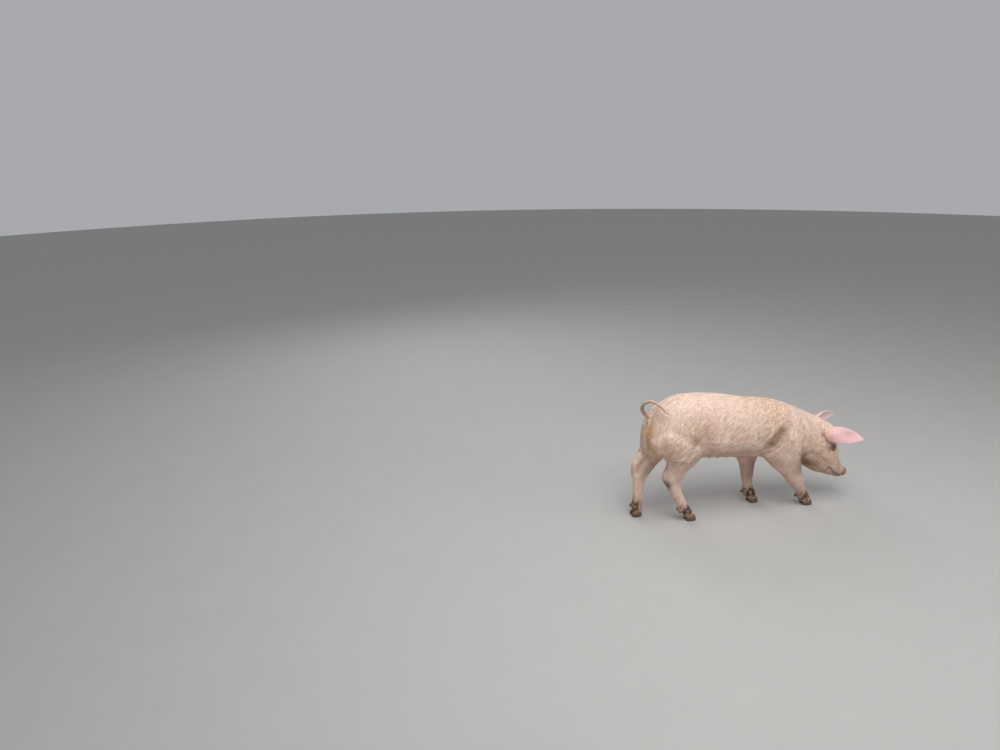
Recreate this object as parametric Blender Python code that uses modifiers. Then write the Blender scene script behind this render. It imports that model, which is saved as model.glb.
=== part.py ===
"""A still, life-size piglet of about six weeks, walking with its head lowered to the floor.

Metres, +Z up, +X towards the snout, +Y towards the piglet's left. The body is shaped whole
from lofted trunk, head and leg forms, blended into one skin, and then parted by thin cuts into
torso, neck, head and legs. Ears, eyes, snout disc, tail, claws and dewclaws are pieces of
their own that meet the body face to face.
"""

from math import cos, pi, radians, sin

import bmesh
import bpy
import numpy as np
from mathutils import Matrix, Vector
from mathutils.bvhtree import BVHTree

# Clearances and mesh sizes
GAP = 0.0003
VOXEL = 0.0028
WELD = 0.00002
BODY_TRIANGLES = 5600
RING_SIDES = 24
RING_STEP = 0.007

# Trunk stations along the back: (top x, top z), (bottom x, bottom z), half width, lean, power.
# Lean above 0 puts the widest place nearer the belly, power above 2 squares the section.
TRUNK = {
    "rump_end": ((-0.063, 0.256), (-0.060, 0.214), 0.020, 0.0, 2.0),
    "croup": ((-0.048, 0.286), (-0.055, 0.190), 0.038, 0.05, 2.1),
    "hips": ((-0.020, 0.310), (-0.034, 0.172), 0.052, 0.08, 2.2),
    "loin_rear": ((0.014, 0.325), (0.006, 0.168), 0.060, 0.08, 2.2),
    "loin": ((0.066, 0.329), (0.064, 0.165), 0.064, 0.10, 2.25),
    "belly": ((0.144, 0.320), (0.142, 0.158), 0.069, 0.12, 2.25),
    "ribs": ((0.205, 0.307), (0.204, 0.153), 0.068, 0.10, 2.2),
    "withers": ((0.262, 0.300), (0.266, 0.144), 0.062, 0.06, 2.2),
    "breast": ((0.312, 0.286), (0.326, 0.136), 0.056, 0.06, 2.2),
    "neck": ((0.360, 0.264), (0.366, 0.126), 0.050, 0.06, 2.2),
    "nape": ((0.407, 0.241), (0.385, 0.112), 0.0455, 0.10, 2.2),
}

# Head stations from nape to snout, written the same way: profile point, jaw point and the rest.
HEAD = {
    "nape": ((0.386, 0.245), (0.376, 0.130), 0.040, 0.10, 2.1),
    "poll": ((0.424, 0.234), (0.389, 0.103), 0.048, 0.20, 2.1),
    "forehead": ((0.450, 0.219), (0.408, 0.090), 0.0475, 0.18, 2.1),
    "brow": ((0.470, 0.202), (0.430, 0.079), 0.0445, 0.12, 2.1),
    "eye_line": ((0.479, 0.178), (0.450, 0.073), 0.038, 0.12, 2.1),
    "cheek": ((0.4855, 0.152), (0.464, 0.067), 0.0305, 0.14, 2.1),
    "bridge": ((0.492, 0.128), (0.477, 0.0625), 0.0240, 0.08, 2.1),
    "muzzle": ((0.4995, 0.109), (0.487, 0.0590), 0.0200, 0.0, 2.1),
    "nose": ((0.5095, 0.092), (0.4945, 0.0560), 0.0185, 0.0, 2.1),
    "snout_end": ((0.5215, 0.0780), (0.5020, 0.0560), 0.0180, 0.0, 2.1),
}

# Leg stations from body to toe: (front x, z), (back x, z), y, half width.
HIND_RIGHT = {
    "loin": ((0.048, 0.260), (-0.028, 0.282), -0.016, 0.018),
    "croup": ((0.061, 0.238), (-0.041, 0.262), -0.029, 0.028),
    "hip": ((0.072, 0.222), (-0.051, 0.245), -0.0345, 0.0320),
    "ham": ((0.082, 0.206), (-0.060, 0.228), -0.037, 0.033),
    "thigh": ((0.075, 0.180), (-0.050, 0.197), -0.039, 0.031),
    "stifle": ((0.061, 0.161), (-0.020, 0.177), -0.038, 0.0255),
    "gaskin": ((0.046, 0.146), (-0.012, 0.160), -0.036, 0.0200),
    "above_hock": ((0.035, 0.127), (-0.019, 0.146), -0.034, 0.0160),
    "hock": ((0.028, 0.109), (-0.024, 0.126), -0.033, 0.0145),
    "below_hock": ((0.030, 0.093), (-0.008, 0.099), -0.032, 0.0130),
    "cannon": ((0.037, 0.076), (0.013, 0.064), -0.030, 0.0115),
    "fetlock": ((0.056, 0.041), (0.030, 0.034), -0.028, 0.0125),
    "pastern": ((0.067, 0.024), (0.041, 0.019), -0.027, 0.0130),
    "foot": ((0.075, 0.004), (0.050, 0.002), -0.027, 0.0128),
}
HIND_LEFT = {
    "loin": ((0.044, 0.260), (-0.028, 0.282), 0.016, 0.018),
    "croup": ((0.054, 0.240), (-0.041, 0.262), 0.029, 0.028),
    "hip": ((0.059, 0.223), (-0.048, 0.244), 0.0345, 0.0310),
    "ham": ((0.060, 0.206), (-0.052, 0.226), 0.037, 0.031),
    "thigh": ((0.040, 0.174), (-0.052, 0.196), 0.038, 0.029),
    "stifle": ((0.014, 0.154), (-0.053, 0.177), 0.036, 0.0240),
    "gaskin": ((-0.008, 0.134), (-0.066, 0.163), 0.034, 0.0190),
    "above_hock": ((-0.023, 0.117), (-0.079, 0.147), 0.032, 0.0155),
    "hock": ((-0.034, 0.103), (-0.078, 0.127), 0.031, 0.0142),
    "below_hock": ((-0.039, 0.086), (-0.074, 0.100), 0.031, 0.0125),
    "cannon": ((-0.044, 0.062), (-0.071, 0.066), 0.030, 0.0115),
    "fetlock": ((-0.044, 0.034), (-0.072, 0.034), 0.029, 0.0125),
    "pastern": ((-0.046, 0.019), (-0.072, 0.018), 0.028, 0.0130),
    "foot": ((-0.047, 0.003), (-0.071, 0.002), 0.027, 0.0128),
}
FORE_RIGHT = {
    "blade": ((0.306, 0.256), (0.232, 0.250), -0.029, 0.020),
    "shoulder": ((0.350, 0.208), (0.226, 0.204), -0.039, 0.0275),
    "arm": ((0.357, 0.167), (0.242, 0.162), -0.040, 0.0265),
    "elbow": ((0.359, 0.138), (0.272, 0.130), -0.038, 0.0215),
    "forearm": ((0.364, 0.110), (0.308, 0.098), -0.036, 0.0170),
    "knee": ((0.373, 0.082), (0.334, 0.068), -0.034, 0.0145),
    "cannon": ((0.381, 0.0605), (0.355, 0.0465), -0.031, 0.0122),
    "fetlock": ((0.395, 0.039), (0.368, 0.028), -0.028, 0.0130),
    "pastern": ((0.404, 0.024), (0.377, 0.014), -0.026, 0.0135),
    "foot": ((0.411, 0.004), (0.385, 0.002), -0.025, 0.0130),
}
FORE_LEFT = {
    "blade": ((0.298, 0.256), (0.224, 0.248), 0.029, 0.020),
    "shoulder": ((0.332, 0.208), (0.208, 0.202), 0.039, 0.0275),
    "arm": ((0.320, 0.167), (0.206, 0.162), 0.040, 0.0265),
    "elbow": ((0.290, 0.141), (0.212, 0.136), 0.037, 0.0210),
    "forearm": ((0.273, 0.110), (0.228, 0.108), 0.034, 0.0165),
    "knee": ((0.269, 0.080), (0.234, 0.078), 0.031, 0.0145),
    "cannon": ((0.266, 0.058), (0.238, 0.055), 0.029, 0.0122),
    "fetlock": ((0.272, 0.037), (0.241, 0.033), 0.027, 0.0130),
    "pastern": ((0.280, 0.020), (0.251, 0.016), 0.025, 0.0135),
    "foot": ((0.283, 0.004), (0.256, 0.002), 0.024, 0.0130),
}
LEG_POWER = 2.1
LEGS = {
    "hind_right": HIND_RIGHT,
    "hind_left": HIND_LEFT,
    "fore_right": FORE_RIGHT,
    "fore_left": FORE_LEFT,
}

# Feet: centre of the sole, and the claws that every foot carries
FEET = {
    "hind_right": (0.0635, -0.0270),
    "hind_left": (-0.0605, 0.0270),
    "fore_right": (0.3985, -0.0250),
    "fore_left": (0.2700, 0.0240),
}
CLAW_LENGTH = 0.027
CLAW_WIDTH = 0.0118
CLAW_SLIT = 0.0012
CLAW_HEIGHT = 0.0125
CORONET_SLOPE = 0.30
CLAW_TOP = 0.88
CLAW_SIDES = 14
CLAW_LEVELS = ((0.0, 0.96), (0.12, 1.0), (0.55, 0.95), (1.0, CLAW_TOP))
CLAW_POINT = 0.28
CLAW_LEAN = 0.0018
CLAW_SPLAY = 0.0006
DEWCLAW_LENGTH = 0.0072
DEWCLAW_RADIUS = 0.0042
DEWCLAW_TAPER = 0.45
DEWCLAW_DROOP = 0.0016
DEWCLAW_AIM = (-0.76, 0.48, -0.44)
DEWCLAW_SIDES = 10
STUB_LENGTH = 0.0014
STUB_ROOT_RADIUS = 0.0050
STUB_END_RADIUS = 0.0040
ROOT_DEPTH = 0.003

# Cuts that part the body, as a point on each cut and the direction out of the piece cut off
HIP_CUT = ((0.0, 0.0, 0.160), (0.484, 0.520, 0.703))
SHOULDER_CUT = ((0.300, 0.0, 0.126), (0.0, 0.581, 0.814))
ARM_FRONT_CUT = ((0.359, 0.0, 0.150), (0.867, 0.0, 0.498))
NECK_CUT = ((0.312, 0.0, 0.295), (-0.957, 0.0, -0.290))
NAPE_CUT = ((0.398, 0.0, 0.250), (-0.983, 0.0, 0.183))
HIND_LIMIT = 0.12
FORE_LIMIT = 0.16

# Snout disc
DISC_CENTRE = (0.5105, 0.0, 0.0716)
DISC_PITCH = radians(42)
DISC_HALF_WIDTH = 0.0195
DISC_HALF_HEIGHT = 0.0138
DISC_THICKNESS = 0.0052
NOSTRIL_OFFSET = 0.0078
NOSTRIL_RADIUS = 0.0036
NOSTRIL_DEPTH = 0.0036
NOSTRIL_RISE = 0.0010
DISC_LEVELS = ((GAP, 0.93), (0.0012, 1.0), (0.0036, 1.0), (DISC_THICKNESS, 0.86))

# Eyes: where the line of sight to each meets the head, seen from the side
EYE_AT = (0.4440, 0.1590)
EYE_RADIUS = 0.0084
EYE_DEPTH = 0.0069
EYE_SLANT = (0.55, 0.0, -0.83)
SIGHT_START = (0.010, 0.120, 0.004)
LID_RADIUS = 0.0016
LID_END_SHARE = 0.7
LID_CLEARANCE = 0.0009
LID_STEPS = 8
LID_HALF_WIDTH = radians(44)
UPPER_LID_RISE = radians(30)
LOWER_LID_DROP = radians(24)

# Mouth line on one side, from the corner to the front, as (x, half width hint, z)
MOUTH = ((0.4490, 0.040, 0.1000), (0.4640, 0.035, 0.0850), (0.4790, 0.028, 0.0725), (0.4930, 0.020, 0.0640))
MOUTH_FRONT = (0.5005, 0.0, 0.0600)
MOUTH_GROOVE = 0.0011
LIP_SWELL = 0.0011
LIP_REACH = 0.0055

# Ears: root, tip and rise of each, widths along the length and how far each section curls
EAR_ROOT = {"right": (0.4170, -0.0390, 0.2090), "left": (0.4200, 0.0370, 0.2080)}
EAR_TIP = {"right": (0.5020, -0.0800, 0.1920), "left": (0.5220, 0.0700, 0.2050)}
EAR_BACK = {"right": (-0.10, -0.72, 0.60), "left": (-0.15, 0.93, 0.30)}
EAR_WIDTHS = ((0.0, 0.018), (0.10, 0.032), (0.20, 0.040), (0.42, 0.046), (0.68, 0.038), (0.88, 0.020), (1.0, 0.004))
EAR_CURL = ((0.0, radians(205)), (0.2, radians(150)), (0.5, radians(82)), (1.0, radians(40)))
EAR_THICKNESS = 0.0022
EAR_BOW = 0.006
EAR_CUT = 0.20
EAR_ROWS = 12
EAR_COLUMNS = 8

# Tail: path from inside the croup round its curl to the tip, and thickness along it
TAIL_PATH = (
    (-0.034, 0.000, 0.268), (-0.049, 0.000, 0.278), (-0.0608, -0.002, 0.2882), (-0.0711, -0.007, 0.3003),
    (-0.0756, -0.014, 0.3125), (-0.0731, -0.021, 0.3233), (-0.0650, -0.0275, 0.3298), (-0.055, -0.0345, 0.3290),
    (-0.0445, -0.040, 0.3217), (-0.0335, -0.0445, 0.3115), (-0.0230, -0.048, 0.3005),
)
TAIL_ROOT_RADIUS = 0.0072
TAIL_TIP_RADIUS = 0.0031
TAIL_TAPER = 0.9
TAIL_FLARE = 1.3
TAIL_SPLITS = (0.14, 0.42, 0.72)
TAIL_SQUARE = 0.0006
TAIL_NAMES = ("tail_base", "tail_curl", "tail_tip")

# Teats: two rows along the belly
TEAT_ROWS = 7
TEAT_FIRST = 0.0575
TEAT_PITCH = 0.0235
TEAT_OFFSET = 0.024
TEAT_ROOT_RADIUS = 0.0029
TEAT_END_RADIUS = 0.0015
TEAT_LENGTH = 0.0042
TEAT_SLANT = 0.25
TEAT_SIDES = 8

SKIN = ("piglet_skin", (0.80, 0.53, 0.45), 0.6)
HORN = ("claw_horn", (0.30, 0.21, 0.14), 0.45)
SNOUT_SKIN = ("snout_skin", (0.66, 0.40, 0.34), 0.5)
EYE = ("dark_eye", (0.020, 0.012, 0.010), 0.15)


def clear_scene():
    """Remove whatever the open file holds."""
    for item in list(bpy.data.objects):
        bpy.data.objects.remove(item)


def make_collection(name):
    """Return a new collection linked to the scene."""
    group = bpy.data.collections.new(name)
    bpy.context.scene.collection.children.link(group)
    return group


def make_material(name, colour, roughness):
    """Return a plain material of one colour."""
    material = bpy.data.materials.new(name)
    material.use_nodes = True
    shader = material.node_tree.nodes["Principled BSDF"]
    shader.inputs["Base Color"].default_value = (*colour, 1.0)
    shader.inputs["Roughness"].default_value = roughness
    shader.inputs["Metallic"].default_value = 0.0
    material.diffuse_color = (*colour, 1.0)
    return material


def object_from(mesh, name, group):
    """Return an object of a bmesh or mesh, linked to a collection."""
    if isinstance(mesh, bmesh.types.BMesh):
        bmesh.ops.recalc_face_normals(mesh, faces=mesh.faces)
        data = bpy.data.meshes.new(name)
        mesh.to_mesh(data)
        mesh.free()
        mesh = data
    item = bpy.data.objects.new(name, mesh)
    group.objects.link(item)
    return item


def bake(item):
    """Replace an object's mesh by what its modifiers give, and clear them."""
    graph = bpy.context.evaluated_depsgraph_get()
    done = bpy.data.meshes.new_from_object(item.evaluated_get(graph))
    old = item.data
    item.modifiers.clear()
    item.data = done
    if old.users == 0:
        bpy.data.meshes.remove(old)
    return item


def remove(item):
    """Delete an object and its mesh."""
    data = item.data
    bpy.data.objects.remove(item)
    if isinstance(data, bpy.types.Mesh) and data.users == 0:
        bpy.data.meshes.remove(data)


def smooth_line(points, count):
    """Sample a smooth curve through rows of numbers, evenly by length."""
    rows = np.array(points, float)
    steps = np.linalg.norm(np.diff(rows, axis=0), axis=1)
    knots = np.concatenate(([0.0], np.cumsum(steps)))
    slopes = np.gradient(rows, knots, axis=0)
    places = np.linspace(0.0, knots[-1], count)
    spans = np.clip(np.searchsorted(knots, places, side="right") - 1, 0, len(steps) - 1)
    width = (knots[spans + 1] - knots[spans])[:, None]
    t = (places - knots[spans])[:, None] / width
    start = (2 * t**3 - 3 * t**2 + 1) * rows[spans] + (t**3 - 2 * t**2 + t) * width * slopes[spans]
    finish = (3 * t**2 - 2 * t**3) * rows[spans + 1] + (t**3 - t**2) * width * slopes[spans + 1]
    return start + finish


def section(front, back, y, half_width, lean, power):
    """Return one closed ring between two profile points, bulging sideways."""
    centre = (front + back) / 2
    reach = (front - back) / 2
    ring = []
    for number in range(RING_SIDES):
        angle = 2 * pi * number / RING_SIDES
        along = np.sign(cos(angle)) * abs(cos(angle)) ** (2 / power)
        across = np.sign(sin(angle)) * abs(sin(angle)) ** (2 / power)
        x, z = centre + reach * along
        ring.append(Vector((x, y + half_width * across * (1 - lean * along), z)))
    return ring


def bridge(rings):
    """Return a closed bmesh that joins rings of equal count and caps both ends."""
    mesh = bmesh.new()
    rows = [[mesh.verts.new(point) for point in ring] for ring in rings]
    sides = len(rows[0])
    for lower, upper in zip(rows, rows[1:]):
        for number in range(sides):
            after = (number + 1) % sides
            mesh.faces.new((lower[number], lower[after], upper[after], upper[number]))
    for row in (rows[0], rows[-1]):
        middle = mesh.verts.new(sum((v.co for v in row), Vector()) / sides)
        for number in range(sides):
            mesh.faces.new((row[number], row[(number + 1) % sides], middle))
    return mesh


def loft(name, stations, group):
    """Loft a form through stations of profile points, side offset, width, lean and power."""
    rows = [(*front, *back, y, width, lean, power) for front, back, y, width, lean, power in stations]
    centres = np.array([((r[0] + r[2]) / 2, (r[1] + r[3]) / 2) for r in rows])
    length = np.linalg.norm(np.diff(centres, axis=0), axis=1).sum()
    lines = smooth_line(rows, max(8, round(length / RING_STEP)))
    rings = [section(line[0:2], line[2:4], *line[4:8]) for line in lines]
    return object_from(bridge(rings), name, group)


def body_stations(table):
    """Stations on the middle plane."""
    return [(front, back, 0.0, width, lean, power) for front, back, width, lean, power in table.values()]


def leg_stations(table):
    """Stations at a leg's own side."""
    return [(front, back, y, width, 0.0, LEG_POWER) for front, back, y, width in table.values()]


def boolean(item, operation, other=None, group=None, crossing=False):
    """Apply one exact Boolean with an object, which may cross itself, or with a collection."""
    step = item.modifiers.new(operation.lower(), "BOOLEAN")
    step.operation = operation
    step.solver = "EXACT"
    step.use_self = crossing
    if group is None:
        step.object = other
    else:
        step.operand_type = "COLLECTION"
        step.collection = group
    return weld(bake(item))


def weld(item):
    """Close up the needle-thin faces that a Boolean leaves."""
    mesh = bmesh.new()
    mesh.from_mesh(item.data)
    bmesh.ops.remove_doubles(mesh, verts=mesh.verts, dist=WELD)
    bmesh.ops.dissolve_degenerate(mesh, edges=mesh.edges, dist=WELD)
    bmesh.ops.triangulate(mesh, faces=mesh.faces)
    mesh.to_mesh(item.data)
    mesh.free()
    return item


def face_out(item):
    """Turn all faces of a closed piece outwards."""
    mesh = bmesh.new()
    mesh.from_mesh(item.data)
    bmesh.ops.recalc_face_normals(mesh, faces=mesh.faces)
    mesh.to_mesh(item.data)
    mesh.free()
    return item


def keep_largest(item):
    """Keep only the largest closed surface of an object."""
    mesh = bmesh.new()
    mesh.from_mesh(item.data)
    mesh.verts.ensure_lookup_table()
    unseen = set(mesh.verts)
    bodies = []
    while unseen:
        front = [unseen.pop()]
        body = set(front)
        while front:
            vertex = front.pop()
            for edge in vertex.link_edges:
                other = edge.other_vert(vertex)
                if other in unseen:
                    unseen.remove(other)
                    body.add(other)
                    front.append(other)
        bodies.append(body)
    largest = max(bodies, key=len)
    loose = [vertex for body in bodies if body is not largest for vertex in body]
    bmesh.ops.delete(mesh, geom=loose, context="VERTS")
    mesh.to_mesh(item.data)
    mesh.free()
    return item


def unite(name, pieces, keep_in):
    """Join closed pieces into one body with a union on a collection, and remove them."""
    first = pieces[0]
    others = make_collection(name + "_joining")
    for piece in pieces[1:]:
        for group in list(piece.users_collection):
            group.objects.unlink(piece)
        others.objects.link(piece)
    boolean(first, "UNION", group=others)
    for piece in pieces[1:]:
        remove(piece)
    bpy.data.collections.remove(others)
    first.name = name
    return keep_largest(first)


def blend(item, triangles):
    """Round the joints between united forms, and bring the mesh down to a count."""
    grid = item.modifiers.new("even_grid", "REMESH")
    grid.mode = "VOXEL"
    grid.voxel_size = VOXEL
    soft = item.modifiers.new("soften", "SMOOTH")
    soft.factor = 0.5
    soft.iterations = 12
    bake(item)
    keep_largest(item)
    count = sum(len(face.vertices) - 2 for face in item.data.polygons)
    fewer = item.modifiers.new("fewer", "DECIMATE")
    fewer.ratio = min(1.0, triangles / count)
    return keep_largest(bake(item))


def region(name, planes, margin, group):
    """A large block bounded by planes, each moved out by a margin."""
    mesh = bmesh.new()
    bmesh.ops.create_cube(mesh, size=2.0)
    for point, normal in planes:
        out = Vector(normal).normalized()
        place = Vector(point) + out * margin
        whole = mesh.verts[:] + mesh.edges[:] + mesh.faces[:]
        cut = bmesh.ops.bisect_plane(mesh, geom=whole, plane_co=place, plane_no=out, clear_outer=True)
        edges = [part for part in cut["geom_cut"] if isinstance(part, bmesh.types.BMEdge)]
        bmesh.ops.contextual_create(mesh, geom=edges)
    block = object_from(mesh, name, group)
    block.hide_render = True
    block.display_type = "WIRE"
    return block


def part_off(item, name, planes, nodes, cutters):
    """Cut a piece off a body along planes, and leave the gap between the two."""
    piece = object_from(item.data.copy(), name, nodes)
    inner = region(name + "_inner", planes, -GAP / 2, cutters)
    outer = region(name + "_outer", planes, GAP / 2, cutters)
    boolean(piece, "INTERSECT", inner)
    boolean(item, "DIFFERENCE", outer)
    remove(inner)
    remove(outer)
    keep_largest(item)
    return keep_largest(piece)


def mirrored(cut):
    """The same cut on the other side of the body."""
    (x, y, z), (a, b, c) = cut
    return (x, -y, z), (a, -b, c)


def part_leg(body, foot, nodes, cutters):
    """Part one whole leg off the body, divide it at its hock or knee, and return the lower piece."""
    end, side = foot.split("_")
    knee = LEGS[foot]["hock" if end == "hind" else "knee"]
    right = side == "right"
    middle = ((0, 0, 0), (0, 1 if right else -1, 0))
    if end == "hind":
        cuts = [HIP_CUT, ((HIND_LIMIT, 0, 0), (1, 0, 0))]
    else:
        cuts = [SHOULDER_CUT, ARM_FRONT_CUT, ((FORE_LIMIT, 0, 0), (-1, 0, 0))]
    cuts = cuts if right else [mirrored(cut) for cut in cuts]
    upper = part_off(body, f"{end}_leg_upper_{side}", cuts + [middle], nodes, cutters)
    front, back = Vector((knee[0][0], 0, knee[0][1])), Vector((knee[1][0], 0, knee[1][1]))
    up = Vector((0, 1, 0)).cross(back - front).normalized()
    lower_name = f"{end}_leg_lower_{side}"
    return part_off(upper, lower_name, [((front + back) / 2, up)], nodes, cutters)


def surface_of(item):
    """A search tree over an object's mesh."""
    mesh = bmesh.new()
    mesh.from_mesh(item.data)
    tree = BVHTree.FromBMesh(mesh)
    mesh.free()
    return tree


def coronet_cut(foot):
    """The sloping plane where the foot's skin ends and its claws begin."""
    x, y = FEET[foot]
    return (x, y, CLAW_HEIGHT), (CORONET_SLOPE, 0.0, -1.0)


def claw(name, centre, outward, nodes):
    """One main claw: a flat sole with a blunt toe, narrowing up to the coronet."""
    x, y = centre
    rings = []
    for level, scale in CLAW_LEVELS:
        ring = []
        for number in range(CLAW_SIDES):
            angle = 2 * pi * number / CLAW_SIDES
            along = CLAW_LENGTH / 2 * cos(angle) * scale - level * CLAW_LEAN
            across = CLAW_WIDTH / 2 * sin(angle) * (1 - CLAW_POINT * cos(angle)) * scale
            height = (CLAW_HEIGHT - GAP + CORONET_SLOPE * along) * level
            splay = outward * CLAW_SPLAY * (1 - level)
            ring.append(Vector((x + along, y + across + splay, height)))
        rings.append(ring)
    return object_from(bridge(rings), name, nodes)


def cone_between(name, start, end, start_radius, end_radius, sides, group):
    """A tapered round piece from one point to another."""
    axis = end - start
    mesh = bmesh.new()
    bmesh.ops.create_cone(
        mesh, cap_ends=True, segments=sides, radius1=start_radius, radius2=end_radius, depth=axis.length
    )
    turn = Vector((0, 0, 1)).rotation_difference(axis).to_matrix().to_4x4()
    bmesh.ops.transform(mesh, matrix=Matrix.Translation((start + end) / 2) @ turn, verts=mesh.verts)
    return object_from(mesh, name, group)


def add_dewclaws(leg, foot, nodes, cutters):
    """Two short stubs behind the pastern, each with its horn cone set on its face."""
    front, back, y, _ = LEGS[foot]["fetlock"]
    inside = Vector(((front[0] + back[0]) / 2, y, (front[1] + back[1]) / 2))
    tree = surface_of(leg)
    stubs = []
    horns = []
    outward = 1 if y > 0 else -1
    for label, turn in (("outer", outward), ("inner", -outward)):
        back_out, side_out, down_out = DEWCLAW_AIM
        aim = Vector((back_out, side_out * turn, down_out)).normalized()
        hit = tree.ray_cast(inside, aim)[0]
        face = hit + aim * STUB_LENGTH
        stubs.append(cone_between(
            "stub", hit - aim * ROOT_DEPTH, face, STUB_ROOT_RADIUS, STUB_END_RADIUS, DEWCLAW_SIDES, cutters
        ))
        start = face + aim * GAP
        tip = start + aim * DEWCLAW_LENGTH - Vector((0, 0, DEWCLAW_DROOP))
        horns.append(cone_between(
            f"{foot}_dewclaw_{label}", start, tip, DEWCLAW_RADIUS, DEWCLAW_RADIUS * DEWCLAW_TAPER, DEWCLAW_SIDES, nodes
        ))
    unite(leg.name, [leg] + stubs, nodes)
    return [clear_of(horn, leg, cutters) for horn in horns]


def add_feet(legs, nodes, cutters):
    """End every leg at its coronet, and set its claws and dewclaws."""
    pieces = []
    for foot, (x, y) in FEET.items():
        leg = legs[foot]
        toes = region(foot + "_toes", [coronet_cut(foot)], 0.0, cutters)
        boolean(leg, "INTERSECT", toes)
        remove(toes)
        keep_largest(leg)
        pieces += add_dewclaws(leg, foot, nodes, cutters)
        spread = (CLAW_WIDTH + CLAW_SLIT) / 2
        outward = 1 if y > 0 else -1
        pieces.append(claw(foot + "_claw_outer", (x, y + outward * spread), outward, nodes))
        pieces.append(claw(foot + "_claw_inner", (x, y - outward * spread), -outward, nodes))
    return pieces


def tube(name, points, radii, group, resolution=1):
    """A round tube through points with a radius at each, as a closed mesh."""
    curve = bpy.data.curves.new(name, "CURVE")
    curve.dimensions = "3D"
    curve.bevel_depth = 1.0
    curve.bevel_resolution = resolution
    curve.use_fill_caps = True
    line = curve.splines.new("POLY")
    line.points.add(len(points) - 1)
    for place, point, radius in zip(line.points, points, radii):
        place.co = (*point, 1.0)
        place.radius = radius
    rope = bpy.data.objects.new(name, curve)
    group.objects.link(rope)
    graph = bpy.context.evaluated_depsgraph_get()
    mesh = bmesh.new()
    mesh.from_mesh(bpy.data.meshes.new_from_object(rope.evaluated_get(graph)))
    bmesh.ops.remove_doubles(mesh, verts=mesh.verts, dist=1e-6)
    bpy.data.objects.remove(rope)
    return object_from(mesh, name, group)


def tail_line():
    """Points and radii along the whole tail."""
    points = [Vector(row) for row in smooth_line(TAIL_PATH, 61)]
    share = np.linspace(0, 1, len(points))
    radii = TAIL_ROOT_RADIUS + (TAIL_TIP_RADIUS - TAIL_ROOT_RADIUS) * share**TAIL_TAPER
    return points, radii


def tail_cut():
    """The plane where the tail leaves the croup."""
    points, _ = tail_line()
    start = round(TAIL_SPLITS[0] * (len(points) - 1))
    return points[start], (points[start - 1] - points[start + 1]).normalized()


def add_tail(nodes):
    """The tail in three lengths that follow one curl and meet on square ends."""
    points, radii = tail_line()
    last = len(points) - 1
    ends = [round(share * last) for share in TAIL_SPLITS] + [last]
    pieces = []
    for name, start, end in zip(TAIL_NAMES, ends, ends[1:]):
        inner = range(start + 2, end - 1, 2)
        along = (points[start + 1] - points[start - 1]).normalized()
        beyond = (points[min(end + 1, last)] - points[end - 1]).normalized()
        run = [points[start] + along * GAP, points[start] + along * (GAP + TAIL_SQUARE)]
        run += [points[i] for i in inner]
        run += [points[end] - beyond * TAIL_SQUARE, points[end]]
        thick = [radii[start]] * 2 + [radii[i] for i in inner] + [radii[end]] * 2
        if end == last:
            run.append(points[end] + beyond * TAIL_TIP_RADIUS)
            thick.append(TAIL_TIP_RADIUS * 0.45)
        pieces.append(tube(name, run, thick, nodes))
    return pieces


def along_ear(table, share):
    """Read a value that changes along the ear."""
    places, values = zip(*table)
    return float(np.interp(share, places, values))


def ear_sheet(side, group):
    """A whole ear as a curled sheet with thickness, its root sunk in the head."""
    root, tip = Vector(EAR_ROOT[side]), Vector(EAR_TIP[side])
    forward = (tip - root).normalized()
    back = Vector(EAR_BACK[side])
    back = (back - forward * back.dot(forward)).normalized()
    across = forward.cross(back)
    mesh = bmesh.new()
    rows = []
    for row in range(EAR_ROWS + 1):
        share = row / EAR_ROWS
        width = along_ear(EAR_WIDTHS, share)
        curl = along_ear(EAR_CURL, share)
        radius = width / (2 * sin(min(curl, pi) / 2))
        spine = root.lerp(tip, share) + back * EAR_BOW * sin(pi * share)
        points = []
        for column in range(EAR_COLUMNS + 1):
            turn = curl * (column / EAR_COLUMNS - 0.5)
            offset = across * sin(turn) * radius + back * (cos(turn) - 1) * radius
            points.append(mesh.verts.new(spine + offset))
        rows.append(points)
    for lower, upper in zip(rows, rows[1:]):
        for column in range(EAR_COLUMNS):
            mesh.faces.new((lower[column], lower[column + 1], upper[column + 1], upper[column]))
    ear = object_from(mesh, "ear_" + side, group)
    shell = ear.modifiers.new("thickness", "SOLIDIFY")
    shell.thickness = EAR_THICKNESS
    shell.offset = 0.0
    return face_out(bake(ear))


def clear_of(item, other, cutters):
    """Cut a piece back wherever it would come nearer to another than the gap."""
    grown = object_from(other.data.copy(), "grown", cutters)
    for vertex in grown.data.vertices:
        vertex.co += vertex.normal * GAP * 1.2
    boolean(item, "DIFFERENCE", grown, crossing=True)
    remove(grown)
    return face_out(keep_largest(item))


def add_ear(head, side, nodes, cutters):
    """Grow an ear's root from the head, and set the rest of the ear on its face."""
    whole = ear_sheet(side, nodes)
    root, tip = Vector(EAR_ROOT[side]), Vector(EAR_TIP[side])
    place = root.lerp(tip, EAR_CUT)
    stub = object_from(whole.data.copy(), "ear_stub", cutters)
    out = (tip - root).normalized()
    near = region("ear_near", [(place, out)], -GAP / 2, cutters)
    far = region("ear_far", [(place, -out)], -GAP / 2, cutters)
    boolean(stub, "INTERSECT", near)
    boolean(whole, "INTERSECT", far)
    remove(near)
    remove(far)
    unite("head", [head, keep_largest(stub)], nodes)
    return clear_of(keep_largest(whole), head, cutters)


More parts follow.
